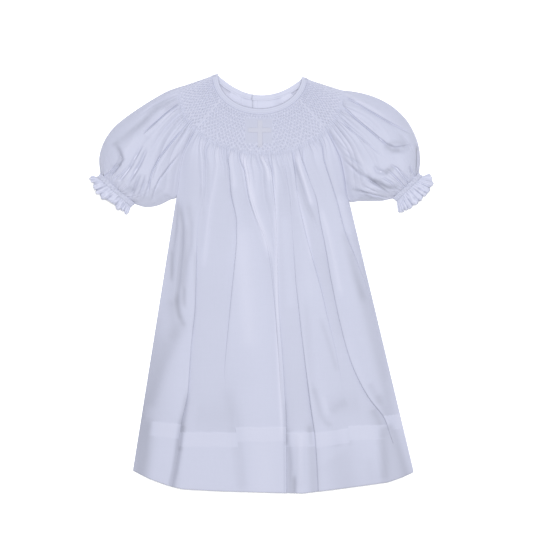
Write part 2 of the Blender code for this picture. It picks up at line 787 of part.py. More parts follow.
def sleeve_plain(arm, row, shares):
    """The sleeve's outer face without pleats: over the top, round the fold, and back."""
    top = [upper_plan(arm, row, v) + (upper_height(arm, row, v),) for v in shares]
    line = top + under_columns(arm, row)
    line[0] = off_the_seam(arm, row, line[0])
    line[-1] = off_the_seam(arm, row, line[-1])
    return line


def eased(count):
    """Even shares from 0 to 1, a little closer at both ends."""
    return [k / count - EASE * math.sin(2.0 * math.pi * k / count) for k in range(count + 1)]


def make_sleeve(arm):
    fine = 2 * SLEEVE_PLEATS
    outer = []
    for r in range(SLEEVE_SMOCKED_ROWS + 1):
        row = r / SLEEVE_SMOCKED_ROWS - 1.0
        bumps, shares = [], []
        for j in range(fine + 1):
            lean, height = smocked(r, j, SLEEVE_SMOCKED_ROWS, PLEAT_HEIGHT)
            inside = 0 < j < fine
            shares.append(j / fine + lean * 2.0 / fine * (0 < j < fine - 1))
            bumps.append(height * inside)
        line = sleeve_plain(arm, row, shares)
        outer.append([(x, y, z + (bumps[j] if j <= fine else 0.0)) for j, (x, y, z) in enumerate(line)])
    coarse = eased(SLEEVE_COLUMNS)
    for row in SLEEVE_ROWS[1:]:
        line = sleeve_plain(arm, row, coarse)
        fade = PLEAT_HEIGHT * max(0.0, 1.0 - row / SLEEVE_GATHER_END)
        near_cuff = (row - CUFF_GATHER_START) / (SLEEVE_END - CUFF_GATHER_START)
        fade += CUFF_GATHER_HEIGHT * smooth(near_cuff)
        points = []
        for j, (x, y, z) in enumerate(line):
            inside = 2 <= j <= SLEEVE_COLUMNS - 2
            points.append((x, y, z + inside * gather(j, fade)))
        outer.append(points)
    plain_shares = eased(SLEEVE_COLUMNS // 2)
    plain_rows = [-1.0, -0.66, -0.33] + list(SLEEVE_ROWS)
    plain = [sleeve_plain(arm, row, plain_shares) for row in plain_rows]
    normals = grid_normals(plain)
    seam_normals(arm, plain_rows, normals)
    inner = []
    for line, ways in zip(plain, normals):
        inner.append([moved(point, way, -WALL) for point, way in zip(line, ways)])
    return sheet_wall("sleeve_" + arm.name, outer, inner)


def seam_normals(arm, rows, normals):
    """Outward normals: all point out of the sleeve, and at the seam they face the neighbour."""
    for row, line in zip(rows, normals):
        middle = line[SLEEVE_COLUMNS // 4]
        if middle[2] < 0.0:
            line[:] = [tuple(-c for c in way) for way in line]
        closing = closed_share(row)
        out = seam_way(arm, max(row, 0.0))
        line[0] = unit(blend((0.0, 0.0, 1.0), out, closing))
        line[-1] = unit(blend((0.0, 0.0, -1.0), out, closing))


def seam_way(arm, row):
    """Level direction out of the sleeve across its underarm seam."""
    section = cubic(arm.sections, row)
    return unit((section.seam_x - section.fold_x, section.seam_y - section.fold_y, 0.0))


# ---------------------------------------------------------------- cuffs and ruffles


def cuff_frame(arm):
    """Middle, half width, way along the cuff and way out of it."""
    end = arm.sections[SLEEVE_END]
    seam, fold = (end.seam_x, end.seam_y), (end.fold_x, end.fold_y)
    along = unit((fold[0] - seam[0], fold[1] - seam[1]))
    out = (along[1] * arm.side, -along[0] * arm.side)
    return seam, math.dist(seam, fold), along, out


def cuff_point(arm, across, out, z):
    """Point at a distance along the cuff from its underarm end, and out from its seam."""
    seam, _, along, way = cuff_frame(arm)
    return (seam[0] + along[0] * across + way[0] * out, seam[1] + along[1] * across + way[1] * out, z)


def make_cuff(arm):
    _, width, _, _ = cuff_frame(arm)
    count = 2 * CUFF_GATHERS
    outer, inner = [], []
    for step in range(3):
        out = GAP + CUFF_LENGTH * step / 2.0
        narrow = 1.0 - 0.5 * (step == 1)
        rings = ((outer, count, 0.0, CUFF_PUCKER * narrow), (inner, count // 2, WALL, 0.0))
        for side, points, inset, pucker in rings:
            ring = []
            for j in range(points):
                turn = 2.0 * math.pi * j / points
                low = math.sin(turn) < -1e-6
                bump = 0.0 if low else pucker * (j % 2)
                half = width / 2.0 - CUFF_EASE - inset + bump
                middle = CUFF_HEIGHT / 2.0
                roundness = 0.4 if low else 0.9
                lift = abs(math.sin(turn)) ** roundness * (middle - inset + 0.6 * bump)
                z = middle - lift if low else middle + lift
                ring.append(cuff_point(arm, width / 2.0 + half * math.cos(turn), out, z))
            side.append(ring)
    return ring_wall("cuff_" + arm.name, outer, inner)


def ruffle_point(arm, turn, t, wave):
    """Middle of the frill's wall: t is 0 at the cuff and 1 at the free edge."""
    _, width, _, _ = cuff_frame(arm)
    places = [place for place, _ in arm.reach]
    depths = [depth for _, depth in arm.reach]
    size = RUFFLE_WAVE_HEIGHT * lerp(0.35, 1.0, t) * (0.8 + 0.2 * math.sin(3.0 * turn))
    low = math.sin(turn) < 0.0
    edge = lerp(places[0], places[-1], 0.5 + 0.5 * math.cos(turn))
    start = width / 2.0 + (width / 2.0 - 2.0) * math.cos(turn)
    across = lerp(start, edge, t) + wave * size * 0.5 * math.cos(turn)
    depth = straight(places, depths, edge) - RUFFLE_UNDER_SHORTER * low
    out = lerp(RUFFLE_START, depth, t) + 0.6 * wave * t
    floor = RUFFLE_WALL / 2.0 + 0.1
    middle = lerp(*RUFFLE_MIDDLE, t)
    if low:
        drop = abs(math.sin(turn)) ** 0.5 * (middle - floor - 0.4 * size)
        z = middle - drop + 0.4 * size * wave
    else:
        z = middle + math.sin(turn) * (lerp(*RUFFLE_RISE, t) + size * wave)
    return cuff_point(arm, across, out, max(floor, z))


def make_ruffle(arm):
    """A gathered frill: a wave that grows from the cuff to the free edge."""
    count = 4 * RUFFLE_WAVES
    rows = []
    for step in range(4):
        ring = []
        for j in range(count):
            wave = math.sin(2.0 * math.pi * j / 4.0 + 0.6)
            ring.append(ruffle_point(arm, 2.0 * math.pi * j / count, step / 3.0, wave))
        rows.append(ring)
    normals = grid_normals(rows, closed=True)
    half = RUFFLE_WALL / 2.0
    outer = [[moved(p, w, half) for p, w in zip(row, ways)] for row, ways in zip(rows, normals)]
    inner = [[moved(p, w, -half) for p, w in zip(row, ways)] for row, ways in zip(rows, normals)]
    return ring_wall("ruffle_" + arm.name, outer, inner)


# ---------------------------------------------------------------- neck binding and placket


def binding_section(edge, way, up):
    """Five points of the strip's section; edge is the middle of its inner side."""
    half = BINDING_THICKNESS / 2.0
    shape = (
        (0.0, -half), (BINDING_WIDTH, -half), (BINDING_WIDTH, half),
        (BINDING_ROUND, half), (0.0, half - 0.5),
    )
    return [tuple(e + w * a + u * b for e, w, u in zip(edge, way, up)) for a, b in shape]


def binding_lift(x, end, start, lift):
    """How far an end of the strip is raised over the laps."""
    return lift * smooth((x - start) / (end - start))


def make_binding():
    half = BINDING_THICKNESS / 2.0
    sections = []
    corners = {}
    for arm in ARMS:
        edge = neck_point(arm.fold_start)
        foot = back_neck_point(BACK_NECK_X + arm.side * arm.back_reach, 0.0)
        far = back_neck_point(BACK_NECK_X + arm.side * arm.back_reach, 1.0)
        corners[arm.name] = (edge, foot, (far[0] - foot[0], far[1] - foot[1], 0.0))

    def back_part(xs, raised):
        for x in xs:
            edge = back_neck_point(x, 0.0)
            far = back_neck_point(x, 1.0)
            way = (far[0] - edge[0], far[1] - edge[1], 0.0)
            sections.append(binding_section(edge + (half + raised(x),), way, (0.0, 0.0, -1.0)))

    def corner_part(arm, turns):
        edge, foot, way = corners[arm.name]
        top, bottom = NECK_LEVEL + half, half
        radius = (top - bottom) / 2.0
        out = (way[1] * arm.side, -way[0] * arm.side, 0.0)
        if out[1] < 0.0:
            out = tuple(-c for c in out)
        for turn in turns:
            s, c = math.sin(turn), math.cos(turn)
            plan = blend(edge, foot, turn / math.pi)
            up = (out[0] * s, out[1] * s, c)
            point = moved(plan + (bottom + radius,), up, radius)
            sections.append(binding_section(point, way, up))

    under_lift = BACK_WALL
    over_lift = BACK_WALL + LAP_THICKNESS + 2.0 * GAP + 0.1
    right, left = ARMS
    turns = [math.pi * k / 4.0 for k in range(5)]
    back_part([7.0, 0.0, -7.0, -13.0, -16.0, -20.0, -24.0, -30.0, -36.0, -41.0, -46.0],
              lambda x: binding_lift(x, -13.0, -24.0, under_lift))
    corner_part(right, reversed(turns))
    for k in range(1, BINDING_STEPS):
        angle = lerp(right.fold_start, left.fold_start, k / BINDING_STEPS)
        edge = neck_point(angle)
        far = yoke_point(angle, 0.0)
        way = unit((far[0] - edge[0], far[1] - edge[1], 0.0))
        span = math.dist(edge, far) / NECK_SEAM
        share = min(1.0, max(0.0, (angle - RAGLAN_ANGLE) / (180.0 - 2.0 * RAGLAN_ANGLE)))
        level = front_floor(-1.0, width_share(share))
        way = tuple(c * span for c in way)
        sections.append(binding_section(edge + (level + half,), way, (0.0, 0.0, 1.0)))
    corner_part(left, turns)
    back_part([45.0, 41.0, 36.0, 30.0, 24.0, 20.0, 16.0, 12.0, 6.0, 0.0, -5.0, OVERLAP_LEFT],
              lambda x: binding_lift(x, 12.0, 24.0, over_lift))
    bm = bmesh.new()
    rings = add_rows(bm, sections)
    for one, two in zip(rings, rings[1:]):
        zip_rows(bm, one, two, closed=True)
    bm.faces.new(rings[0])
    bm.faces.new(rings[-1])
    return finish(bm, "neck_binding")


def make_placket():
    """The two laps, which lie on the back's inner face across its slot."""
    for name, low_x, high_x, level in (
        ("placket_under", LAP_LEFT, LAP_RIGHT, UPPER_FLOOR),
        ("placket_over", OVERLAP_LEFT, OVERLAP_RIGHT, UPPER_FLOOR + LAP_THICKNESS + GAP),
    ):
        top = [back_neck_point(lerp(high_x, low_x, k / 4.0), NECK_SEAM) for k in range(5)]
        outline = [(low_x, LAP_END_Y), (high_x, LAP_END_Y)] + top
        plate(name, outline, level, level + LAP_THICKNESS)


def make_button(name, y):
    bm = bmesh.new()
    bmesh.ops.create_cone(bm, cap_ends=True, segments=24, radius1=BUTTON_RADIUS * MM,
                          radius2=BUTTON_RADIUS * MM, depth=BUTTON_THICKNESS * MM)
    rims = [edge for edge in bm.edges if abs(edge.verts[0].co.z - edge.verts[1].co.z) < 1e-6]
    bmesh.ops.bevel(bm, geom=rims, offset=0.3 * MM, segments=1, affect="EDGES")
    button = finish(bm, name, BUTTON_COLOUR, 0.3)
    button.location = (0.0, y * MM, (BUTTON_THICKNESS / 2.0 + 0.1) * MM)


def main():
    for old in list(bpy.data.objects):
        bpy.data.objects.remove(old, do_unlink=True)
    make_front()
    make_back()
    for arm in ARMS:
        make_sleeve(arm)
        make_cuff(arm)
        make_ruffle(arm)
    make_binding()
    make_placket()
    for name, y in BUTTONS:
        make_button(name, y)


main()
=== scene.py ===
"""A toddler's smocked bishop dress, laid flat and seen from straight above.

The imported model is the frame. Each cloth piece is a thin shell over its solid, with the
fine smocking, the gathers and the sharp folds. Lengths are millimetres until MM turns
them to metres. Right and left are the wearer's, so the right sleeve lies at -X.
"""

import math
from collections import namedtuple

import bmesh
import bpy
import numpy as np
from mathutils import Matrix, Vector


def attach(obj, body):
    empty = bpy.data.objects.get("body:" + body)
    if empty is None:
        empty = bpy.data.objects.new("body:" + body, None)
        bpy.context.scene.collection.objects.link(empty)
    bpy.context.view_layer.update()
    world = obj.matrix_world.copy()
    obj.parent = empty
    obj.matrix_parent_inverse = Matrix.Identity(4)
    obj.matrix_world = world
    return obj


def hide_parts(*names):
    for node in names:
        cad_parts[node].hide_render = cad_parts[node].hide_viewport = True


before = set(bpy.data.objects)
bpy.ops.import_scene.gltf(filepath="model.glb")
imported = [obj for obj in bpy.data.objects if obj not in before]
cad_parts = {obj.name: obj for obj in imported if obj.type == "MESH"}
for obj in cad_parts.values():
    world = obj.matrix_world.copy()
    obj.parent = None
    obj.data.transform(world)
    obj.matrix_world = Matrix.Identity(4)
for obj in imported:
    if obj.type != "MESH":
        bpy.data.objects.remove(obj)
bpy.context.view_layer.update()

MM = 0.001
TURN = 2.0 * math.pi
SHELL = 0.6
NEUTRAL = 0.5
OFF_FLOOR = 0.02

# ---- the frame's sizes

WALL = 1.2
GAP = 0.3
SEAM_SHIFT = 0.2
SEAM_LAP = 0.15
UPPER_FLOOR = 1.8
NECK_CENTRE = (-1.2, 248.0)
NECK_RADII = (50.0, 39.4)
NECK_LEVEL = 3.1
YOKE_LEVEL = NECK_LEVEL - 0.4
NECK_SEAM = 7.0
UNDER_NECK_EASE = -0.5
BACK_NECK_X = 1.0
BACK_NECK_Y = 224.6
BACK_NECK_CURVE = 0.0087
BACK_NECK_TURN = 13.0
YOKE_CENTRE = (0.0, 225.0)
YOKE_RADII = (98.0, 71.0)
RAGLAN = 36.0
RAGLAN_COS = math.cos(math.radians(RAGLAN))
RAGLAN_SIN = math.sin(math.radians(RAGLAN))
BACK_WALL = 1.5
BACK_EDGE = NECK_SEAM - 1.2
LAP_TOP = 4.1
LAP_CLEARANCE = 0.5
LAP_SPREAD = 26.0
SKIRT_CROWN = 0.6
ARMPIT = 4.0
SIDE_ROWS = 8.0
LAST_ROW = ARMPIT + SIDE_ROWS
SLEEVE_END = 8.0
SLEEVE_RIM = 2.2
HEM_RIGHT = np.array((-153.6, -225.6))
HEM_LEFT = np.array((183.2, -227.4))
HEM_DROP = np.array((
    (0.0, 0.0), (0.06, 9.6), (0.135, 18.4), (0.18, 21.6), (0.32, 23.8), (0.53, 25.4),
    (0.605, 25.8), (0.77, 18.6), (0.91, 11.9), (0.958, 6.2), (1.0, 0.0),
))

# Sleeve sections from the smocking (0) past the armpit (4) to the cuff (8):
# seam x, seam y, fold x, fold y, height.
RIGHT_SECTIONS = np.array((
    (-79.3, 183.3, -97.0, 234.9, 9.0),
    (-87.6, 166.5, -112.5, 229.3, 13.5),
    (-94.3, 149.4, -130.0, 219.6, 18.0),
    (-98.0, 127.5, -148.5, 207.8, 22.0),
    (-101.0, 103.8, -166.8, 194.6, 25.0),
    (-109.2, 99.2, -179.6, 182.4, 26.5),
    (-122.9, 92.6, -188.9, 167.6, 25.0),
    (-138.0, 90.4, -194.0, 149.5, 20.0),
    (-151.2, 94.2, -192.6, 130.4, 13.0),
))
LEFT_SECTIONS = np.array((
    (79.3, 183.3, 97.7, 230.6, 9.0),
    (87.4, 166.5, 117.0, 228.0, 13.5),
    (95.4, 149.4, 137.0, 222.2, 18.0),
    (100.3, 126.5, 156.4, 212.0, 22.0),
    (105.2, 98.8, 172.6, 197.4, 25.0),
    (118.0, 97.6, 182.6, 181.6, 26.5),
    (131.0, 97.6, 188.6, 165.6, 25.0),
    (145.0, 98.0, 191.2, 148.0, 20.0),
    (158.0, 100.8, 189.4, 131.2, 13.0),
))
Arm = namedtuple("Arm", "name side raglan fold_start fold_end back_neck_x back_reach sections")
ARMS = (
    Arm("right", -1, RAGLAN, -0.4, -8.0, -31.0, 51.9, RIGHT_SECTIONS),
    Arm("left", 1, 180.0 - RAGLAN, 175.5, 184.5, 31.0, 47.4, LEFT_SECTIONS),
)

# ---- small maths


def lerp(a, b, t):
    return a + (b - a) * t


def smooth(t):
    t = np.clip(t, 0.0, 1.0)
    return t * t * (3.0 - 2.0 * t)


def bell(away, width):
    return np.exp(-(away / width) ** 2)


def from_ends(share):
    return np.minimum(share, 1.0 - share)


def hat(share, power):
    """1 at the middle and 0 at both ends of a share."""
    return 1.0 - np.abs(2.0 * share - 1.0) ** power


def turns(count):
    """Angles round a closed ring, as one row."""
    return np.linspace(0.0, TURN, count, endpoint=False)[None, :]


def unit(v):
    return v / np.linalg.norm(v, axis=-1, keepdims=True)


def chance(k, seed):
    """A fixed number from 0 to 1 for each k."""
    return np.modf(np.abs(np.sin(np.asarray(k) * 12.9898 + seed * 78.233) * 43758.5453))[0]


def ripple(x, y, scale, seed=0.0):
    """Smooth unevenness from -1 to 1 over the plan."""
    total = 0.0
    for k in range(6):
        turn = 2.4 * k + seed
        size = scale * (0.7 + 0.25 * k)
        along_wave = x * math.cos(turn) + y * math.sin(turn)
        total = total + np.sin(along_wave / size + 1.7 * k + seed * 3.1)
    return total / 3.2


def along(points, at):
    """Catmull-Rom through equally spaced rows of a table."""
    last = len(points) - 1
    at = np.asarray(at, float)
    i = np.clip(np.floor(at).astype(int), 0, last - 1)
    t = (at - i)[..., None]
    a, b, c, d = (points[np.clip(i + k, 0, last)] for k in (-1, 0, 1, 2))
    bend = 2 * a - 5 * b + 4 * c - d + t * (3 * (b - c) + d - a)
    return b + 0.5 * t * (c - a + t * bend)


def near_line(points, x, y):
    """Signed distance to a polyline (positive on its left) and the share along it."""
    points = np.array(points, float)
    steps = np.diff(points, axis=0)
    lengths = np.linalg.norm(steps, axis=1)
    before = np.concatenate(([0.0], np.cumsum(lengths)))
    best = np.full(np.shape(x), 1e9)
    signed = np.zeros(np.shape(x))
    share = np.zeros(np.shape(x))
    for k, (dx, dy) in enumerate(steps):
        px, py = x - points[k, 0], y - points[k, 1]
        t = (px * dx + py * dy) / lengths[k] ** 2
        clamped = np.clip(t, 0.0, 1.0)
        away = np.hypot(px - clamped * dx, py - clamped * dy)
        closer = away < best
        side = np.sign(dx * py - dy * px)
        best = np.where(closer, away, best)
        signed = np.where(closer, away * side, signed)
        share = np.where(closer, (before[k] + clamped * lengths[k]) / before[-1], share)
    return signed, share


def taper(share, power):
    return np.sin(np.pi * np.clip(share, 0.0, 1.0)) ** power


Soft = namedtuple("Soft", "height width line")
Fold = namedtuple("Fold", "start top line")
Crease = namedtuple("Crease", "depth width ridge reach side line")


def table(kind, size, *rows):
    """Rows of the kind's own numbers, then its line's points, of size numbers each."""
    lead = len(kind._fields) - 1
    return [kind(*row[:lead], np.reshape(row[lead:], (-1, size))) for row in rows]


# ---- the garment's lines


def yoke_xy(angle, depth):
    turn = np.radians(angle)
    rx = lerp(NECK_RADII[0] + NECK_SEAM, YOKE_RADII[0], depth)
    ry = lerp(NECK_RADII[1] + NECK_SEAM, YOKE_RADII[1], depth)
    cx = lerp(NECK_CENTRE[0], YOKE_CENTRE[0], depth)
    cy = lerp(NECK_CENTRE[1], YOKE_CENTRE[1], depth)
    return cx - rx * np.cos(turn), cy - ry * np.sin(turn)


def neck_xy(angle):
    turn = np.radians(angle)
    x = NECK_CENTRE[0] - NECK_RADII[0] * np.cos(turn)
    return x, NECK_CENTRE[1] - NECK_RADII[1] * np.sin(turn)


def back_neck_xy(x, out):
    """Point of the back neck's edge at x, moved out from the opening into the dress."""
    x = np.asarray(x, float)
    away = x - BACK_NECK_X
    normal = unit(np.stack([2.0 * BACK_NECK_CURVE * away, -np.ones_like(x)], -1))
    reach = np.where(away < 0.0, ARMS[0].back_reach, ARMS[1].back_reach)
    corner = np.stack([0.97 * np.sign(away), np.full_like(x, -0.24)], -1)
    bend = smooth((np.abs(away) - reach) / BACK_NECK_TURN + 1.0)[..., None]
    way = unit(lerp(normal, corner, bend))
    y = BACK_NECK_Y + BACK_NECK_CURVE * away * away
    return x + way[..., 0] * out, y + way[..., 1] * out


def fold_angle(arm, depth):
    return lerp(arm.fold_start, arm.fold_end, depth)


def seam_xy(arm, row):
    row = np.asarray(row, float)
    low = along(arm.sections, np.maximum(row, 0.0))
    x, y = yoke_xy(arm.raglan, np.minimum(row, 0.0) + 1.0)
    return np.where(row > 0, low[..., 0], x), np.where(row > 0, low[..., 1], y)


def side_xy(arm, row):
    """Edge of the front or back panel: the raglan seam, then the side seam."""
    x, y = seam_xy(arm, np.minimum(row, ARMPIT))
    corner = HEM_RIGHT if arm.side < 0 else HEM_LEFT
    down = np.maximum(np.asarray(row, float) - ARMPIT, 0.0) / SIDE_ROWS
    return lerp(x, corner[0], down), lerp(y, corner[1], down)


def seam_level(row):
    row = np.asarray(row, float)
    top = lerp(NECK_LEVEL, YOKE_LEVEL, row + 1.0)
    return np.where(row <= 0.0, top, lerp(YOKE_LEVEL, UPPER_FLOOR, smooth(row / ARMPIT)))


def front_angle(c):
    """Angle at share c of the front's arc of the yoke."""
    return lerp(RAGLAN, 180.0 - RAGLAN, c)


def width_share(c):
    """Share of the front's width at share c of its arc."""
    return (RAGLAN_COS - np.cos(np.radians(front_angle(c)))) / (2.0 * RAGLAN_COS)


def panel_xy(row, share):
    """Plan of the front below the smocking, between its edges."""
    rx, ry = side_xy(ARMS[0], row)
    lx, ly = side_xy(ARMS[1], row)
    across = RAGLAN_COS * (1.0 - 2.0 * share)
    yoke = YOKE_RADII[1] * (np.sqrt(np.maximum(0.0, 1.0 - across ** 2)) - RAGLAN_SIN)
    hem = np.interp(share, HEM_DROP[:, 0], HEM_DROP[:, 1])
    x = lerp(rx + SEAM_SHIFT, lx - SEAM_SHIFT, share)
    return x, lerp(ry, ly, share) - lerp(yoke, hem, row / LAST_ROW)


def front_floor(row, share):
    """Inner height of the front's solid: it rises over the placket's laps."""
    level = seam_level(row)
    span = side_xy(ARMS[1], row)[0] - side_xy(ARMS[0], row)[0]
    near = 1.0 / (1.0 + ((share - 0.5) * span / LAP_SPREAD) ** 6)
    rise = np.maximum(0.0, LAP_TOP + LAP_CLEARANCE - level - SKIRT_CROWN)
    arch = SKIRT_CROWN * hat(share, 4)
    return level + arch + rise * near * smooth(1.0 - (row - 2.5) / 1.2)


# ---- meshes


def add_object(name, data):
    thing = bpy.data.objects.new(name, data)
    bpy.context.scene.collection.objects.link(thing)
    return thing


class Sheet:
    """A mesh in the making: points in millimetres, faces, and numbers a point (extra)."""

    def __init__(self):
        self.points, self.faces, self.extra, self.count = [], [], {}, 0

    def grid(self, x, y, z, **extra):
        """Adds rows of points and returns their numbers."""
        x, y, z = np.broadcast_arrays(x, y, z)
        ids = np.arange(x.size).reshape(x.shape) + self.count
        self.points.append(np.stack([x, y, z], -1).reshape(-1, 3))
        for name in set(self.extra) | set(extra):
            old = self.extra.setdefault(name, [np.zeros(self.count)])
            old.append(np.broadcast_to(extra.get(name, 0.0), x.shape).reshape(-1))
        self.count += x.size
        return ids

    def quads(self, ids, flip=False, closed=False):
        if closed:
            ids = np.concatenate([ids, ids[:, :1]], 1)
        a, b, c, d = ids[:-1, :-1], ids[:-1, 1:], ids[1:, 1:], ids[1:, :-1]
        order = (a, d, c, b) if flip else (a, b, c, d)
        self.faces += np.stack(order, -1).reshape(-1, 4).tolist()

    def strip(self, one, two):
        """Faces between two rows that may have different counts, by the shorter diagonal."""
        one, two = list(map(int, one)), list(map(int, two))
        at = np.concatenate(self.points)
        i = j = 0
        while i < len(one) - 1 or j < len(two) - 1:
            ahead = np.sum((at[one[min(i + 1, len(one) - 1)]] - at[two[j]]) ** 2)
            beside = np.sum((at[two[min(j + 1, len(two) - 1)]] - at[one[i]]) ** 2)
            if j == len(two) - 1 or (i < len(one) - 1 and ahead <= beside):
                self.faces.append((one[i], one[i + 1], two[j]))
                i += 1
            else:
                self.faces.append((one[i], two[j + 1], two[j]))
                j += 1

    def rim(self, outer, inner):
        """Faces between the four edges of an outer and an inner grid."""
        for edge in (np.s_[0], np.s_[-1], np.s_[:, 0], np.s_[:, -1]):
            self.strip(outer[edge], inner[edge])

    def shell(self, outer, inner):
        """Faces of an open piece of cloth: both its grids and its edges."""
        self.quads(outer)
        self.quads(inner, flip=True)
        self.rim(outer, inner)

    def tube(self, outer, inner):
        """Faces of a closed band: both its grids and its two ends."""
        self.quads(outer, closed=True)
        self.quads(inner, flip=True, closed=True)
        for row in (0, -1):
            self.quads(np.stack([outer[row], inner[row]]), closed=True)

    def build(self, name, material, replaces=(), slot=None):
        mesh = bpy.data.meshes.new(name)
        points = np.concatenate(self.points) * MM
        mesh.from_pydata(points.tolist(), [], self.faces)
        for key, values in self.extra.items():
            data = mesh.attributes.new(key, "FLOAT", "POINT")
            data.data.foreach_set("value", np.concatenate(values).astype(np.float32))
        piece = add_object(name, mesh)
        outward(mesh)
        mesh.shade_smooth()
        mesh.materials.append(material)
        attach(piece, "root")
        if replaces:
            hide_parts(*replaces)
        return piece


def outward(mesh):
    bm = bmesh.new()
    bm.from_mesh(mesh)
    bmesh.ops.recalc_face_normals(bm, faces=bm.faces)
    bm.to_mesh(mesh)
    bm.free()


def grid_normals(p, closed=False):
    """Unit normals of a grid of points of shape rows x columns x 3."""
    down = np.gradient(p, axis=0)
    if closed:
        across = np.roll(p, -1, 1) - np.roll(p, 1, 1)
    else:
        across = np.gradient(p, axis=1)
    return unit(np.cross(across, down) + 1e-12)


# ---- materials


# Painted shade for cloth in hollows, and the lighter tint of doubled cloth, also used as painted light,
# against plain cloth.
HOLLOW_PAINTED_SHADE = 0.64
DOUBLED_AND_PAINTED_LIGHT_TINT = (1.17, 1.15, 1.12)


def tinted(colour, *factors):
    """A colour times one factor, or times one for each channel."""
    return tuple(c * f for c, f in zip(colour, factors * (3 // len(factors))))


def cotton(name, colour, with_painted_shade=False, crisp=1.0):
    """Plain-weave cotton: threads both ways, faint slubs and soft unevenness."""
    material = bpy.data.materials.new(name)
    material.use_nodes = True
    nodes, links = material.node_tree.nodes, material.node_tree.links
    shader = nodes["Principled BSDF"]
    shader.inputs["Roughness"].default_value = 0.62
    shader.inputs["Specular IOR Level"].default_value = 0.38
    shader.inputs["Sheen Weight"].default_value = 0.05
    shader.inputs["Sheen Roughness"].default_value = 0.5
    place = nodes.new("ShaderNodeTexCoord")

    def noise(scale, stretch, detail):
        fit = nodes.new("ShaderNodeMapping")
        fit.inputs["Scale"].default_value = stretch
        texture = nodes.new("ShaderNodeTexNoise")
        texture.inputs["Scale"].default_value = scale
        texture.inputs["Detail"].default_value = detail
        links.new(place.outputs["Object"], fit.inputs["Vector"])
        links.new(fit.outputs["Vector"], texture.inputs["Vector"])
        return texture.outputs["Fac"]

    def threads(direction):
        wave = nodes.new("ShaderNodeTexWave")
        wave.bands_direction = direction
        wave.inputs["Scale"].default_value = 420.0
        wave.inputs["Distortion"].default_value = 1.2
        wave.inputs["Detail"].default_value = 1.0
        links.new(place.outputs["Object"], wave.inputs["Vector"])
        return wave.outputs["Fac"]

    def combine(kind, a, b):
        node = nodes.new("ShaderNodeMath")
        node.operation = kind
        for socket, value in zip(node.inputs, (a, b)):
            if isinstance(value, (int, float)):
                socket.default_value = value
            else:
                links.new(value, socket)
        return node.outputs[0]

    def mix(factor, a, b):
        node = nodes.new("ShaderNodeMix")
        node.data_type = "RGBA"
        links.new(factor, node.inputs["Factor"])
        for socket, value in ((node.inputs[6], a), (node.inputs[7], b)):
            if isinstance(value, tuple):
                socket.default_value = value + (1.0,)
            else:
                links.new(value, socket)
        return node.outputs[2]

    slub_x = noise(60.0, (1.0, 9.0, 1.0), 3.0)
    slub_y = noise(60.0, (9.0, 1.0, 1.0), 3.0)
    cloud = noise(14.0, (1.0, 1.0, 1.0), 2.0)
    uneven = combine("MULTIPLY", combine("ADD", slub_x, slub_y), 0.5)
    uneven = combine("ADD", combine("MULTIPLY", uneven, 0.6), combine("MULTIPLY", cloud, 0.4))
    shade = mix(uneven, tinted(colour, 0.95), tinted(colour, 1.045))
    # An attribute paints shade and light on the cloth: below 0.5 towards the painted shade, above it
    # towards the lighter tint of doubled cloth.
    if with_painted_shade:
        layers = nodes.new("ShaderNodeAttribute")
        layers.attribute_name = "layers"
        thin = mix(combine("MULTIPLY", layers.outputs["Fac"], 2.0), tinted(colour, HOLLOW_PAINTED_SHADE), shade)
        more = combine("SUBTRACT", combine("MULTIPLY", layers.outputs["Fac"], 2.0), 1.0)
        shade = mix(more, thin, tinted(colour, *DOUBLED_AND_PAINTED_LIGHT_TINT))
    links.new(shade, shader.inputs["Base Color"])
    weave = combine("MULTIPLY", combine("ADD", threads("X"), threads("Y")), 0.35 * crisp)
    height = combine("ADD", weave, combine("MULTIPLY", uneven, crisp))
    bump = nodes.new("ShaderNodeBump")
    bump.inputs["Strength"].default_value = 0.35
    bump.inputs["Distance"].default_value = 0.00025
    links.new(height, bump.inputs["Height"])
    links.new(bump.outputs["Normal"], shader.inputs["Normal"])
    return material


def plain_material(name, colour, rough):
    material = bpy.data.materials.new(name)
    material.use_nodes = True
    shader = material.node_tree.nodes["Principled BSDF"]
    shader.inputs["Base Color"].default_value = colour + (1.0,)
    shader.inputs["Roughness"].default_value = rough
    shader.inputs["Specular IOR Level"].default_value = 0.1
    return material


CLOTH = (0.450, 0.467, 0.578)
skirt_cloth = cotton("cotton_skirt", CLOTH, with_painted_shade=True)
trim_cloth = cotton("cotton_trim", tinted(CLOTH, 1.03), with_painted_shade=True)
# The frill's cloth is the same cotton, 8 % lighter: painted light.
frill_cloth = cotton("cotton_frill", tinted(CLOTH, 1.08), with_painted_shade=True)
inside_cloth = cotton("cotton_inside", tinted(CLOTH, 1.05), with_painted_shade=True)
thread = cotton("thread", tinted(CLOTH, 1.05), crisp=0.4)
cross_thread = cotton("cross_thread", tinted(CLOTH, 0.97, 0.955, 0.92), crisp=0.4)

# ---- smocking


def smocking(u, r):
    """Height from about 0 to 1 and sideways pull (in pleats) of honeycomb smocking.

    u counts pleats and r counts rows. Neighbouring pleats are drawn together where
    their stitch lies, by turns to one side and to the other.
    """
    ridge = np.abs(np.cos(np.pi * u)) ** 0.8
    drawn = np.sin(np.pi * u) * np.cos(np.pi * r)
    pull = 0.16 * np.cos(np.pi * u) * np.cos(np.pi * r)
    height = 0.35 + 0.45 * ridge + 0.45 * np.maximum(0.0, drawn) ** 1.5
    return height - 0.4 * np.maximum(0.0, -drawn), pull


def by_hand(u, r):
    """Small unevenness of pleats and rows that were gathered and stitched by hand."""
    du = 0.10 * np.sin(0.9 * u + 1.3 * r) + 0.08 * np.sin(2.3 * u - 0.7 * r)
    dr = 0.16 * np.sin(0.55 * u) + 0.12 * np.sin(1.3 * u + 0.4 * r) + 0.08 * np.sin(2.9 * u)
    return u + du, r + dr


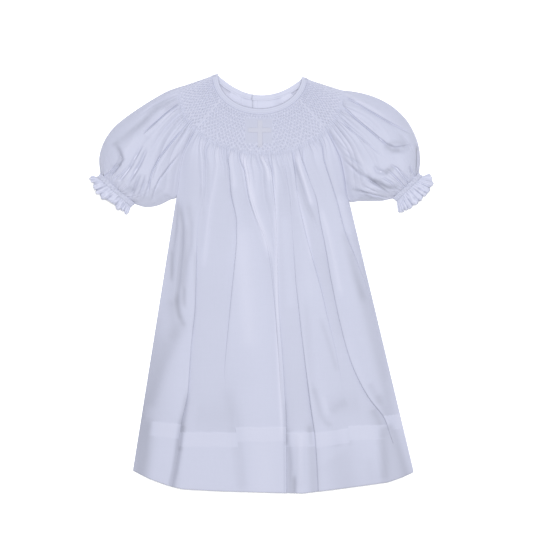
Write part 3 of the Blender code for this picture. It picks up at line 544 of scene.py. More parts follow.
def teeth(u):
    """Points of the smocking's lower edge, four pleats apart: 1 where it stops short."""
    return 0.5 + 0.5 * np.cos(TURN * u / 4.0)


def stitched(u, depth, where=1.0):
    """1 where the pleats are drawn together, by depth from the neck's seam (0) to the last row (1)."""
    return where * smooth(depth / 0.05) * smooth((1.0 - 0.09 * teeth(u) - depth) / 0.03)


def smocking_painted_shade(height, drawn):
    """Painted highlight on the smocking's ridges and painted shade in its hollows."""
    return (0.085 + 0.52 * (height - 0.62)) * drawn


def yoke_end(depth):
    """Passes from the smocking (0) into the gathers below it (1)."""
    return smooth((depth - 0.88) / 0.08)


# ---- front

FRONT_PLEATS = 64
PLEAT_COLUMNS = 6
FRONT_COLUMNS = FRONT_PLEATS * PLEAT_COLUMNS
YOKE_ROWS = 15
ROW_STEPS = 5
PLEAT_HEIGHT = 1.3
PLEAT_MEAN = 0.8
PANEL = (-19.5, 14.0, 166.5, 197.0)
PANEL_BORDER = 2.0

# Long folds of the skirt: the place at the smocking's end (share of its arc), the side that
# lies on top, then x, y and the height of the step at each point of the line.
FOLDS = table(Fold, 3,
    (0.1, -1, -69, 105, 0.3, -76.6, 68, 1.6, -77.8, 7, 3.2, -79, -32, 3.6, -84, -78, 3.6, -87.6, -135, 3,
     -92.4, -155, 2, -96, -171, 1.2, -98.4, -189, 0.8, -99.6, -207, 0.7, -103.2, -225, 0.6,
     -108, -248, 0.6),
    (0.289, 1, -38.4, 155, 1.4, -36.4, 105, 2.8, -29, 78, 2.8, -29.4, 44, 2.6, -35.2, -12, 2.4,
     -40, -61, 2, -44, -104, 1, -43, -122, 0, -35, -153, 0, -30, -177, 0, -25, -213, 0, -21, -249, 0),
    (0.374, 1, -23, 155, 0.8, -20.4, 139, 1.2, -14.4, 100, 1.8, -4.8, 74, 2, 7, 49, 2.4, 12.5, 15, 2,
     17, -32, 1.4, 21.4, -90, 0.9, 25.6, -160, 0.3, 26.2, -247, 0),
    (0.543, -1, 12, 150, 0.2, 18, 79, 0.6, 18.9, 44, 1.2, 21.3, -32, 2.2, 25.9, -90, 3, 28.3, -139, 3.6,
     29.5, -158, 4, 29.8, -247, 4.6),
    (0.631, 1, 27, 150, 0.2, 34.8, 105, 0.8, 36.8, 78, 1.3, 41.8, 0, 2, 49.1, -66, 2.6, 54, -105, 3,
     60, -151, 3.2, 64.8, -183, 1.8, 67, -215, 1.3, 68.6, -247, 1.3),
    (0.694, -1, 38, 150, 0.6, 44.2, 100, 2, 54, 56, 3.2, 63.6, 22, 3.2, 72, -7, 2.8, 80.8, -46, 2.2,
     88, -73, 1.4, 93, -98, 0.6, 101, -140, 0, 112, -243, 0),
    (0.747, 1, 48, 150, 0.8, 67.2, 100, 2.6, 71, 73, 2.8, 77.2, 44, 3, 83.3, 7, 3, 93, -41, 2.8,
     100.3, -71, 2.8, 107.6, -95, 2.8, 118.8, -120.6, 2.7, 131.8, -142, 2.6, 140, -152, 2.5, 148.4, -160, 2,
     152.4, -174.6, 1.2, 158.4, -191.4, 0.5, 164.4, -211, 0.1, 169.2, -234.6, 0),
    (0.907, -1, 74, 150, 0.4, 90.6, 100, 2, 100.3, 61, 2.6, 112.6, 32, 2.4, 127.2, -5, 1.4, 139, -41, 0.6,
     152, -95, 0, 166, -160, 0, 177, -232, 0),
)

# Soft troughs (negative) and ridges of the skirt: height, half width, then the line's x, y.
SKIRT_SOFTS = table(Soft, 2,
    (-1.8, 2.2, -98, 95, -94, 69, -95, 39, -98, 9, -101, -21, -98, -39, -91, -52),
    (-0.9, 3.4, -88, 95, -84, 69, -85, 45, -90, 25, -92, 3, -95, -31),
    (-0.6, 6, -92, -47, -107, -75, -118, -99, -127, -127, -134, -153),
    (-2, 3.4, -89, -131, -92, -155, -96, -171, -98, -189, -100, -207, -103, -225, -107, -241, -112, -279),
    (-0.8, 8, -43, -123, -35, -153, -30, -177, -25, -213, -22, -249, -20, -275),
    (1, 3, -23, 157, -17, 129, -12, 105, -6, 83, 2, 61, 8, 39),
    (-1, 1.8, -38, 125, -36, 105, -32, 88),
    (1, 2.4, -35, 164, -34, 141, -31, 117),
    (-1.5, 2, 37, 153, 42, 135, 49, 111, 56, 91, 64, 73, 68, 56),
    (1.2, 2.6, 42, 152, 48, 133, 54, 116, 61, 92),
    (0.6, 1.8, 18, 147, 19, 75, 19, -9, 22, -69, 25, -123),
    (0.8, 2.4, -70, 177, -70, 147, -70, 111, -67, 81),
    (1, 3.4, -50, 167, -54, 129, -62, 87, -66, 51, -70, 17),
    (1.2, 12, -22, 57, -20, -21, -13, -119),
    (-0.8, 4, 55, -41, 62, -115, 76, -158, 86, -175),
    (-0.5, 5, 84, -155, 92, -149, 103, -142),
    (1.2, 9, 120, 1, 136, -59, 150, -119, 150, -151),
    (1.8, 6, 47, -179, 47, -244),
    (-1, 3.2, 32, -189, 34, -219, 35, -275),
    (-1.2, 2.2, 40, -225, 40, -275),
    (0.6, 3, 136, -189, 136, -237),
    (0.8, 2.6, 77, 73, 83, 45, 90, 15),
    (0.6, 3, 116, 69, 121, 56, 133, 25),
    (0.8, 7, 84, 20, 94, -31, 112, -89, 128, -130),
    (-0.8, 1.8, -100, 101, -101, 81, -102, 63, -105, 45, -106, 25, -106, 1),
)

# Painted shade (negative) and painted light on the skirt: amount, half width, then x, y.
SKIRT_SHADES = table(Soft, 2,
    (-0.12, 2.2, -100, 104, -101, 81, -102, 63, -106, 45, -107, 25, -107, 1),
    (-0.16, 2, -107, 39, -107, 22, -107, 3),
    (-0.2, 2.6, -98, 95, -94, 69, -95, 39, -98, 9, -101, -21, -98, -39, -91, -52),
    (-0.12, 3.6, -88, 99, -84, 69, -85, 45, -90, 25, -92, 3, -95, -31),
    (-0.1, 9, -102, 99, -100, 51, -103, -3, -102, -33),
    (-0.12, 7, -92, -45, -107, -75, -118, -99, -127, -127, -134, -153),
    (-0.08, 8, -112, -63, -125, -99, -134, -135, -139, -171),
    (-0.2, 3.4, -88, -127, -92, -155, -96, -171, -98, -189, -100, -207, -103, -225, -107, -241,
     -116, -309),
    (-0.12, 1.6, -79, 39, -79, -9, -79, -35, -83, -63),
    (-0.06, 8, -43, -123, -35, -153, -30, -177, -25, -213, -22, -249, -18, -309),
    (-0.16, 4, 31, -171, 34, -207, 36, -309),
    (-0.34, 2.6, 40, -230, 40, -297),
    (0.1, 6, 46, -175, 46, -191, 47, -213, 47, -261),
    (-0.14, 5, 58, -165, 60, -201, 64, -297),
    (-0.14, 3.6, 62, -123, 68, -141, 72, -159, 77, -167, 86, -173),
    (0.14, 2.4, 74, -135, 77, -147, 79, -158),
    (-0.1, 5, 84, -155, 92, -149, 103, -142),
    (-0.07, 22, 89, -183, 97, -219, 107, -309),
    (0.22, 2.6, -36, 166, -34, 141, -31, 113),
    (0.42, 3.4, -23, 159, -17, 129, -12, 105, -6, 83, 2, 61, 11, 32),
    (-0.12, 2.2, 36, 153, 42, 135, 49, 111, 56, 91, 64, 73),
    (0.4, 2.8, 41, 153, 48, 133, 54, 116, 61, 92),
    (0.3, 1.8, 42, 111, 48, 87, 54, 64, 61, 25),
    (0.14, 2.6, -72, 177, -70, 153, -70, 113),
    (0.16, 3.4, -49, 170, -54, 129, -62, 87, -66, 51, -70, 17),
    (0.14, 10, -23, 69, -18, -9, -13, -81),
    (0.06, 22, -22, 57, -8, -57, 1, -201),
    (-0.05, 3, 44, 81, 52, 45, 61, 9),
    (-0.1, 3, 71, -43, 80, -69, 91, -107),
    (-0.05, 7, 76, 39, 88, -21, 98, -71),
    (0.12, 4, -16, 147, -11, 117, -6, 93),
    (0.3, 3, 1, 154, 6, 137, 13, 121),
    (-0.06, 6, 121, 39, 133, -21, 145, -81, 152, -123),
    (-0.14, 5.5, -92, -159, -98, -189, -102, -225, -112, -309),
    (-0.16, 3, -92, -170, -95, -189, -97, -203),
    (-0.14, 4, 134, -152, 140, -162, 144, -172),
    (-0.08, 7, 131, -150, 140, -170, 146, -187),
    (-0.06, 6, 140, -175, 145, -201, 148, -285),
    (0.22, 2.8, 72, 89, 78, 69, 84, 45, 90, 15, 96, -16),
    (-0.08, 5, 107, 39, 115, 5, 124, -27),
    (-0.16, 2.2, 29, -141, 29, -177, 30, -195),
    (-0.06, 5, 32, -171, 34, -213, 35, -309),
    (-0.1, 4.5, 66, -177, 67, -213, 70, -297),
    (-0.1, 3, 31, -181, 31, -196),
    (-0.06, 9, -30, -171, -28, -201, -22, -249),
    (-0.1, 3, 58, -171, 60, -195),
    (-0.08, 3, 104, -175, 107, -196),
    (0.1, 16, 1, -189, 4, -225, 6, -285),
    (-0.07, 24, 83, -207, 101, -237, 107, -297),
    (-0.1, 4, -140, -135, -144, -177, -148, -225, -151, -285),
    (-0.05, 6, 172, -177, 176, -203, 181, -237, 187, -297),
    (-0.15, 5, 140, -134, 148, -155, 155, -177),
    (-0.1, 7, 88, -175, 91, -197),
    (-0.05, 18, -79, -158, -31, -163),
    (-0.05, 14, 73, -151, 119, -143),
    (-0.12, 7, -108, -19, -103, -47, -107, -69),
    (-0.12, 2.4, -89, 69, -91, 25, -95, -7),
    (0.06, 5, 49, 87, 54, 39, 60, -21),
    (0.06, 6, 28, 81, 32, 27, 37, -33),
    (-0.13, 3, -101, -14, -101, -30, -97, -42, -91, -53),
    (-0.14, 2.2, -92, -6, -91, -31),
    (0.12, 6, 95, 104, 102, 80, 108, 58),
    (-0.11, 4.5, 98, 63, 105, 39, 113, 9, 123, -21),
    (0.34, 2.4, 17, 149, 18, 75, 19, -9, 20, -69, 23, -129, 26, -189),
    (-0.24, 7, -133, -160, -136, -182, -138, -207, -142, -237, -145, -297),
    (-0.12, 5, 143, -170, 145, -189, 148, -215, 148, -237),
    (-0.06, 7, 128, -207, 133, -237, 136, -297),
    (-0.12, 5, 130, -121, 136, -133, 142, -145),
    (-0.06, 4, 53, -21, 58, -81, 64, -141, 68, -177),
)

# Top edge of the hem between the folds: the height (Y) at each gap's two sides.
HEM_TOPS = (
    (-165.0, -170.0), (-179.3, -179.8), (-173.5, -173.2), (-173.2, -173.0), (-179.3, -179.3),
    (-180.8, -175.0), (-172.0, -170.5), (-160.0, -158.0), (-157.0, -156.0),
)
TURN_UNDER = 17.0
HEM_RELIEF = 0.35
HEM_STEP = 0.8
SKIRT_LOFT = 4.2

# A fold's step: its raised lip, the overhang of the lip, and the hollow in front of it.
FOLDS_APART = 2.0
LIP_RISE = 0.2
LIP_REACH = 5.0
OVERHANG_REACH = 0.7
HOLLOW_DEPTH = 0.55
HOLLOW_REACH = 6.0


def soft_relief(softs, x, y):
    total = np.zeros(np.shape(x))
    for soft in softs:
        away, share = near_line(soft.line, x, y)
        ends = np.clip(from_ends(share) * 1e3, 0.0, 1.0)
        total += soft.height * taper(share, 0.6) * ends * bell(away, soft.width)
    return total


def eased_line(points):
    """A fold's x and height at every 2 mm of y, with its corners smoothed."""
    points = np.array(points, float)[::-1]
    y = np.arange(-280.0, 190.0, 2.0)
    window = np.hanning(17)
    window = window / window.sum()
    wide = np.arange(-296.0, 206.0, 2.0)
    x, height = (np.convolve(np.interp(wide, points[:, 1], points[:, k]), window, "valid")[:len(y)]
                 for k in (0, 2))
    return np.stack([x, y, height], 1)


def shade_of(shades, x, y):
    total = np.zeros(np.shape(x))
    for soft in shades:
        away, share = near_line(soft.line, x, y)
        total += soft.height * smooth(from_ends(share) / 0.12 + 0.2) * bell(away, soft.width)
    return total


def fold_share(fold, row):
    """Share of the panel's width where a fold's line crosses each row."""
    line = eased_line(fold.line)
    right, left = side_xy(ARMS[0], row)[0], side_xy(ARMS[1], row)[0]
    top = width_share(fold.start)
    share = np.full(row.shape, top)
    for _ in range(6):
        y = panel_xy(row, share)[1]
        x = np.interp(y, line[:, 1], line[:, 0])
        share = (x - right) / (left - right)
    share = lerp(top, share, smooth(row / 1.4))
    y = panel_xy(row, share)[1]
    full = lerp(0.42, 0.85, smooth((-70.0 - y) / 110.0))
    height = full * np.interp(y, line[:, 1], line[:, 2]) * smooth(row / 0.9)
    return share, height


def fold_starts():
    """The column of the smocking at which each fold starts."""
    return [round(fold.start * FRONT_COLUMNS) for fold in FOLDS]


def front_rows():
    """Rows below the smocking, closest where the top edges of the hem lie."""
    ends, counts = (0.0, ARMPIT, 9.85, 11.2, 11.9, LAST_ROW), (24, 44, 42, 8, 4)
    return np.concatenate([np.linspace(low, high, count + 1)[1:]
                           for low, high, count in zip(ends, ends[1:], counts)])


def skirt(rows, columns, detail):
    """The skirt at these columns of the smocking: x, y, floor, height above it, and the attribute of
    painted shade and light, with the doubled hem's lighter tint.
    """
    starts = [0] + fold_starts() + [FRONT_COLUMNS]
    row = rows[:, None]
    lines = [fold_share(fold, rows) for fold in FOLDS]
    shares = np.stack([np.zeros_like(rows)] + [share for share, _ in lines] + [np.ones_like(rows)], 1)
    span = side_xy(ARMS[1], rows)[0] - side_xy(ARMS[0], rows)[0]
    least = FOLDS_APART / span
    for k in range(1, len(FOLDS) + 1):
        shares[:, k] = np.maximum(shares[:, k], shares[:, k - 1] + least)
    for k in range(len(FOLDS), 0, -1):
        shares[:, k] = np.minimum(shares[:, k], shares[:, k + 1] - least)
    heights = [np.zeros_like(rows)] + [height for _, height in lines] + [np.zeros_like(rows)]
    tops = [0] + [fold.top for fold in FOLDS] + [0]
    spread = smooth(rows / 1.2)[:, None]
    share, z, push, band, height_painted_shade = np.zeros((5, len(rows), len(columns)))
    for k in range(len(starts) - 1):
        inside = (columns >= starts[k]) & (columns <= starts[k + 1])
        t = (columns[inside] - starts[k]) / (starts[k + 1] - starts[k])
        t = t[None, :] - 0.78 * spread * np.sin(TURN * t)[None, :] / TURN
        width = ((shares[:, k + 1] - shares[:, k]) * span)[:, None]
        here = lerp(shares[:, k][:, None], shares[:, k + 1][:, None], t)
        part = np.zeros_like(here)
        slide = np.zeros_like(here)
        ends = []
        edges = ((k, 1, t * width), (k + 1, -1, (1.0 - t) * width))
        for edge, side, away in edges:
            height = heights[edge][:, None]
            raised = tops[edge] == side
            ends.append(height if raised else 0.0 * height)
            if raised:
                part += LIP_RISE * height * np.exp(-away / LIP_REACH)
                bulge = (away / OVERHANG_REACH) * np.exp(1.0 - away / OVERHANG_REACH)
                slide -= side * (0.35 + 0.2 * height) * bulge * smooth(height / 0.6)
            elif tops[edge]:
                part -= HOLLOW_DEPTH * height * np.exp(-away / (HOLLOW_REACH + 1.2 * height))
        part += lerp(ends[0], ends[1], smooth(t))
        for edge, side, away in edges:
            if tops[edge] == side:
                soft = 0.6 + 5.0 * smooth(1.0 - heights[edge][:, None] / 1.2)
                part *= 1.0 - np.exp(-away / soft)
        height_painted_shade[:, inside] = np.clip((part - 1.2) / 3.2, -1.0, 1.0)
        share[:, inside], z[:, inside], push[:, inside] = here, part, slide * detail
        band[:, inside] = lerp(*HEM_TOPS[k], t)
    x, y = panel_xy(row, share)
    floor = front_floor(row, share)
    edge = from_ends(share) * span[:, None]
    down = smooth((row - ARMPIT + 0.6) / 1.6)
    roll = np.where(share < 0.5, 15.0, lerp(7.0, 16.0, smooth((10.0 - y) / 60.0)))
    z = z + SKIRT_LOFT * (1.0 - np.exp(-(edge / roll) ** 1.2)) * smooth(row / 2.0)
    z = z - 0.25 * down * np.exp(-edge / 4.0)
    z = z - 0.2 * np.exp(-(LAST_ROW - row) * 41.0 / 2.0)
    z = z + soft_relief(SKIRT_SOFTS, x, y) + 0.22 * ripple(x, y * 0.45, 9.0) * smooth(row / 2.0)
    below = smooth((band - y) / HEM_STEP + 0.5)
    turned = below * smooth((y - band + TURN_UNDER) / HEM_STEP + 0.5)
    # Painted shade along the right and the left edge, and over the lower left corner.
    rim = np.where(share < 0.5, 0.20 * np.exp(-edge / 13.0) * smooth((-15.0 - y) / 70.0),
                   0.13 * bell(edge - 9.0, 6.0) * smooth((30.0 - y) / 60.0))
    corner = smooth((x - 139.0) / 12.0) * smooth((163.0 - 0.34 * (171.0 + y) - x) / 10.0)
    corner = corner * smooth((-166.0 - y) / 12.0)
    lit = np.where(share < 0.5, smooth((edge - 9.0) / 6.0), 1.0) * (1.0 - corner)
    # The doubled hem is tinted lighter except at the shaded rim and corner; raised cloth between the folds
    # gets painted light and sunken cloth painted shade.
    layers = NEUTRAL + (0.06 * below + 0.13 * turned) * lit + 0.10 * height_painted_shade * smooth(row / 2.0)
    layers = layers - (rim + 0.11 * corner) * smooth(row / 3.0) + shade_of(SKIRT_SHADES, x, y)
    return x + push, y, floor + WALL, z + HEM_RELIEF * below, layers


def ridge_cells(u, least, extra, seed):
    """Uneven ridges along u: the place counted in ridges, and the ridge's own number."""
    marks = [-6.0]
    while marks[-1] < FRONT_PLEATS + 16.0:
        marks.append(marks[-1] + least + extra * float(chance(len(marks), seed)))
    place = np.interp(u, marks, np.arange(len(marks)))
    return place, np.floor(place)


# The front's large ridges, in pleats from its right edge.
FRONT_RIDGES = (-3.5, 5.1, 12.2, 18.4, 24.0, 28.2, 32.3, 36.5, 39.9, 42.5, 47.2, 54.8, 60.5, 67.0)


def gathers(u, fall, seed=0.0, ridges=None):
    """Height of the gathers at pleat u, fall millimetres below the smocking."""
    single = np.abs(np.cos(np.pi * u))
    alone = 0.5 + 0.9 * chance(np.round(u), 7.0 + seed)
    total = alone * single * np.exp(-fall / (5.0 + 15.0 * chance(np.round(u), 1.0 + seed)))
    grow = 1.0 - np.exp(-fall / 4.0)
    for least, extra, high, short, long, power in (
        (1.5, 1.5, 2.2, 18.0, 60.0, 0.8), (3.2, 3.6, 2.9, 45.0, 120.0, 0.9),
    ):
        wander = u + 0.5 * np.sin(fall / 21.0 + 0.4 * u + seed) * smooth(fall / 30.0)
        place, cell = ridge_cells(wander, least, extra, least + seed)
        if ridges and least > 3.0:
            place = np.interp(wander, ridges, np.arange(len(ridges)) + 0.5)
            cell = np.floor(place)
        strength = 0.35 + 0.65 * chance(cell, 4.0 + seed)
        reach = short + long * chance(cell, 5.0 + seed) ** 1.5
        ridge = np.abs(np.sin(np.pi * place)) ** power
        total = total + grow * high * strength * ridge * np.exp(-(fall / reach) ** 1.3)
    return total


def yoke_mask(x, y):
    """1 where the yoke is smocked, 0 over the plain panel at the centre front."""
    west, east, south, north = PANEL
    inside = 1.0
    for within in (x - west, east - x, y - south, north - y):
        inside = inside * smooth(within / PANEL_BORDER + 0.5)
    return 1.0 - inside


def make_front():
    """The front, and the points of its smocked yoke."""
    count = FRONT_COLUMNS
    columns = np.arange(count + 1)
    c = columns[None, :] / count
    u = c * FRONT_PLEATS - 0.5
    depth = np.linspace(0.0, 1.0, YOKE_ROWS * ROW_STEPS + 1)[:, None]
    r = depth * YOKE_ROWS
    height, pull = smocking(*by_hand(u, r))
    angle = front_angle(c)
    x, y = yoke_xy(angle, depth)
    drawn = stitched(u, depth, yoke_mask(x, y))
    flat = PLEAT_MEAN + (0.05 + 0.3 * np.exp(-depth / 0.07)) * np.cos(TURN * u)
    edge = np.minimum(columns, count - columns)[None, :]
    loose = gathers(u, 0.0 * depth) / PLEAT_HEIGHT * smooth(edge / 5.0)
    end = yoke_end(depth)
    relief = lerp(lerp(flat, loose, end), height, drawn)
    relief = lerp(PLEAT_MEAN - PLEAT_MEAN * end, relief, smooth(edge / 4.0))
    inner_pull = pull * drawn * smooth((edge - 2.0) / 12.0)
    x, y = yoke_xy(angle + inner_pull * (180.0 - 2.0 * RAGLAN) / FRONT_PLEATS, depth)
    x = x - SEAM_LAP * ((columns == 0) * 1.0 - (columns == count))
    base = front_floor(depth - 1.0, width_share(c)) + WALL
    rounding = -0.1 * np.exp(-edge / 2.0)
    sheet = Sheet()
    rows = front_rows()
    sx, sy, sbase, sz, layers = skirt(rows, columns, True)
    closing = (SEAM_LAP + SEAM_SHIFT) * (1.0 - smooth(rows - ARMPIT))
    sx[:, 0] -= closing
    sx[:, -1] += closing
    fall = np.hypot(sx - x[-1][None, :], sy - y[-1][None, :])
    gathered = gathers(u, fall, ridges=FRONT_RIDGES)
    gathered = gathered * smooth(edge / lerp(5.0, 20.0, smooth((rows - 2.0) / 3.0))[:, None])
    sz = sz + gathered
    upper = base + PLEAT_HEIGHT * relief + rounding
    blend_rows = smooth(rows / 0.5)[:, None]
    panel = (1.0 - yoke_mask(x, y)) * smooth((0.97 - depth) / 0.02)
    # Painted highlight and shade of the smocking, the plain panel 0.09 darker, and painted light along the
    # neck's seam.
    tone = NEUTRAL + smocking_painted_shade(relief, drawn) - 0.09 * panel + 0.1 * np.exp(-depth / 0.03)
    # Painted highlight on the gathers' ridges and painted shade between them.
    layers = layers + 0.09 * (gathered - 1.2) * np.exp(-fall / 50.0) * smooth(edge / 8.0)
    outer = sheet.grid(np.concatenate([x, sx]), np.concatenate([y, sy]),
                       np.concatenate([upper, sbase + sz + rounding * (1.0 - blend_rows)]),
                       layers=np.clip(np.concatenate([tone + 0.0 * x, layers]), 0.0, 1.0))
    # The inner face: coarser, and raised by 0.45 of the folds' height.
    coarse = np.array(sorted(set(range(0, count + 1, 12)) | set(fold_starts())))
    few = np.concatenate([rows[:-1][::5], rows[-1:]])
    share, depths = coarse[None, :] / count, np.linspace(0, 1, 6)[:, None]
    ix, iy = yoke_xy(front_angle(share), depths)
    ix = ix + SEAM_SHIFT * ((coarse == 0) * 1.0 - (coarse == count))
    iz = front_floor(depths - 1.0, width_share(share)) + WALL - SHELL
    jx, jy, jbase, jz, _ = skirt(few, coarse, False)
    jz = np.minimum(jz, 0.0) + 0.45 * np.maximum(jz, 0.0)
    jz = np.maximum(jbase + jz - SHELL, UPPER_FLOOR - 0.05)
    inner = sheet.grid(np.concatenate([ix, jx]), np.concatenate([iy, jy]), np.concatenate([iz, jz]),
                       layers=NEUTRAL)
    sheet.shell(outer, inner)
    stitches = smocking_stitches(x, y, upper, drawn, FRONT_PLEATS, YOKE_ROWS)
    stitches.build("stitches_front", thread, slot="front")
    return sheet.build("front_panel", skirt_cloth, ["front"]), np.stack([x, y, upper], -1)


# ---- sleeves

SLEEVE_PLEATS = 26

# Creases of the sleeves: depth and half width of the trough, height, reach and side (1 is
# left of the line) of its ridge, then x, y of the line from the smocking to the cuff.
RIGHT_CREASES = table(Crease, 2,
    (2.2, 0.8, 2.8, 4.5, 1, -88, 217, -101, 211.8, -114, 201.6, -127.2, 189.6, -141, 177.8),
    (2.1, 0.9, 1.6, 6, 1, -84, 196, -94.8, 181.8, -108, 166.2, -121.2, 148.8, -129.6, 132.6, -133.4, 118.2,
     -134, 103),
    (1.8, 0.9, 1.4, 7, -1, -78, 187, -85.2, 171, -94.8, 156.6, -108, 141, -121.2, 123, -127.2, 109.8,
     -131, 97),
    (1.2, 1, 1, 2.5, -1, -102, 201.5, -99.4, 195, -96, 189.6, -90, 186.2),
    (1.1, 1, 1, 2.5, -1, -97, 206, -95, 200, -92, 195, -86, 191.4),
    (0.8, 1.2, 0.7, 2.5, -1, -106, 199, -105, 192, -101, 186, -95, 182.5),
    (0.8, 0.9, 0.7, 2, -1, -92, 208, -91, 203, -88, 199, -84, 197),
    (2.2, 5, 0.9, 7, -1, -100, 223.5, -127.2, 209.4, -142, 193.3, -168, 171.7, -180, 163),
    (1, 1.3, 1, 3, -1, -98, 226, -114, 220, -130, 211.5, -142, 202),
    (0.7, 1, 0.7, 2.5, -1, -94, 219, -104, 214.5, -118, 205),
    (0.7, 1.1, 0.6, 2.5, -1, -92, 213, -104, 207, -116, 198, -124, 190),
    (2.6, 3, 0.9, 4, 1, -174, 163, -169, 156, -167, 148, -171, 140, -177, 133),
    (2, 1.9, 2.4, 3.2, 1, -142, 164, -147, 154, -156, 139, -168, 121),
    (2.2, 2.1, 2.2, 3, 1, -136, 160, -143, 144, -152, 128, -160, 116),
    (1.8, 1.4, 1.3, 2.5, -1, -148, 147, -158, 134, -170, 121),
    (2.2, 1.2, 1.8, 2.2, -1, -164, 148, -174, 134, -183, 125),
    (1.8, 1.1, 1.3, 2, -1, -171, 143, -180, 132, -188, 127),
    (1.5, 1, 1.2, 2, 1, -158, 140, -166, 130, -176, 123),
    (1.8, 1.8, 1.4, 3, 1, -144, 130, -150, 114, -156, 101),
    (1.5, 1.5, 1.1, 3, -1, -137, 128, -142, 112, -148, 99),
    (1.2, 1.3, 1, 2.6, -1, -131, 124, -136, 110, -141, 98),
    (0.6, 1.5, 0.5, 3, 1, -112, 158, -122, 142, -128, 128),
    (-1.6, 6, 0, 5, 1, -146, 178, -160, 160, -166, 150),
    (-1, 7, 0, 5, 1, -118, 186, -130, 172, -138, 160),
)
LEFT_CREASES = table(Crease, 2,
    (1.9, 0.8, 1.8, 6, 1, 93, 229, 106.6, 219.2, 130.8, 204.8, 155.5, 190.4, 180, 178),
    (2.2, 1, 1.6, 7, 1, 86, 220.5, 96.5, 212, 116.4, 193.3, 136.8, 176, 150, 165, 160, 161, 172, 163,
     181, 166),
    (2.2, 4, 0, 5, 1, 148, 165, 158, 158.5, 170, 159, 178, 162),
    (1.2, 0.8, 1, 3, -1, 83, 202, 99.4, 189, 116.4, 174.6, 134, 160, 150, 147),
    (0.7, 0.9, 0.6, 2.6, -1, 84, 208, 96, 196, 112, 182, 126, 170),
    (2.3, 1, 2.1, 6, 1, 77, 182, 84, 168, 93.6, 154.4, 104, 142, 116.4, 131.4, 133.9, 119.9, 154, 106),
    (1, 1, 0.9, 3, 1, 78, 190, 88, 174, 98, 162, 108, 152),
    (1.6, 1, 1.7, 2.6, -1, 93, 160, 101, 152, 110, 146.6, 121, 138.6),
    (3, 3, 0.8, 4, 1, 124, 129, 132, 122, 142.8, 116, 150, 113, 158, 111),
    (2.2, 2.8, 1, 3.6, 1, 134, 139, 140, 133, 147, 131, 152, 134),
    (2.2, 1.3, 2.2, 3.2, 1, 154, 141, 162, 136, 170, 126, 178, 115),
    (1.8, 1.2, 1.6, 2.4, -1, 150, 136, 158, 128, 166, 120, 172, 113),
    (1.3, 1, 1.1, 2.2, 1, 160, 139, 169, 131, 178, 121),
    (1.6, 1.3, 1.2, 2.4, -1, 144, 126, 154, 120, 164, 110),
    (2.4, 1, 1.4, 4, 1, 104, 114, 118, 109.5, 134, 105, 148, 102, 162, 99.4),
    (1, 1, 0.9, 3, 1, 112, 120, 126, 113.5, 140, 107),
    (1.8, 0.9, 0.6, 2, 1, 185.6, 168, 187, 156, 186.8, 146, 185.4, 131),
    (1.6, 1.2, 1.4, 3, 1, 95, 123, 100, 111, 110, 98),
    (1.4, 1.1, 1.4, 3, 1, 91, 142, 98, 127, 110, 112),
    (1, 1, 0.9, 2.4, 1, 88, 150, 93, 140, 100, 130),
    (-1.2, 3.5, 0, 3, 1, 98, 230, 121.2, 215, 146, 202),
    (-1, 3.5, 0, 3, 1, 88, 214, 104, 200, 124, 184),
    (-0.8, 6, 0, 3, 1, 120, 168, 138, 152, 150, 140),
    (1.4, 5, 0, 3, 1, 166, 178, 173, 168, 180, 160),
    (1.6, 1.4, 1.2, 2.4, 1, 178, 140, 180, 132, 184, 126),
)
CREASES = {"right": RIGHT_CREASES, "left": LEFT_CREASES}

# Painted shade (negative) and painted light on the sleeves, as for the skirt.
SLEEVE_SHADES = {
    "right": table(Soft, 2,
        (-0.12, 6, -133, 197, -148, 189, -160, 181, -175, 169),
        (-0.34, 4, -175, 169, -170, 159, -168, 149, -172, 137),
        (-0.2, 3, -96, 217, -104, 211, -116, 208),
        (-0.12, 2.4, -101, 219, -118, 215, -128, 208, -138, 201),
        (-0.26, 1.4, -109, 206, -121, 195, -131, 187, -140, 178),
        (0.26, 2.6, -102, 205, -112, 200, -124, 190),
        (-0.12, 4, -139, 175, -131, 170),
        (-0.14, 6, -155, 111, -148, 123, -138, 129),
        (-0.34, 2.4, -162, 111, -155, 112, -150, 109),
        (-0.2, 1.8, -154, 98, -145, 94, -137, 93, -128, 94, -116, 98),
        (0.24, 2.6, -167, 136, -170, 128, -174, 121),
        (0.2, 2, -142, 152, -150, 139, -161, 122, -168, 111),
        (-0.2, 2.4, -194, 159, -196, 147, -194, 135),
        (-0.2, 2, -179, 141, -173, 135, -178, 130),
    ),
    "left": table(Soft, 2,
        (-0.26, 2.4, 148, 164, 156, 158, 166, 158),
        (-0.24, 3.4, 152, 166, 162, 167, 173, 164),
        (-0.32, 4, 148, 130, 152, 134, 158, 137),
        (-0.36, 3, 133, 123, 142, 121, 148, 114, 154, 113, 166, 115),
        (-0.4, 2, 107, 112, 121, 109, 134, 101, 150, 99),
        (-0.18, 4, 109, 106, 124, 101, 133, 98),
        (-0.4, 1.5, 188, 165, 186, 157, 186, 135, 186, 125, 182, 121, 175, 117),
        (0.24, 3, 96, 175, 108, 161, 119, 149, 132, 130),
        (0.2, 1.8, 94, 213, 104, 206, 119, 195, 133, 182),
        (0.16, 1.6, 97, 227, 110, 222, 125, 212, 148, 199),
        (-0.3, 1.4, 96, 154, 104, 151, 116, 139, 125, 129, 134, 122, 154, 105),
        (-0.22, 2.4, 98, 127, 104, 117, 110, 99),
        (0.16, 3, 155, 130, 163, 123, 170, 116),
        (0.12, 3, 109, 123, 125, 115, 140, 107),
    ),
}


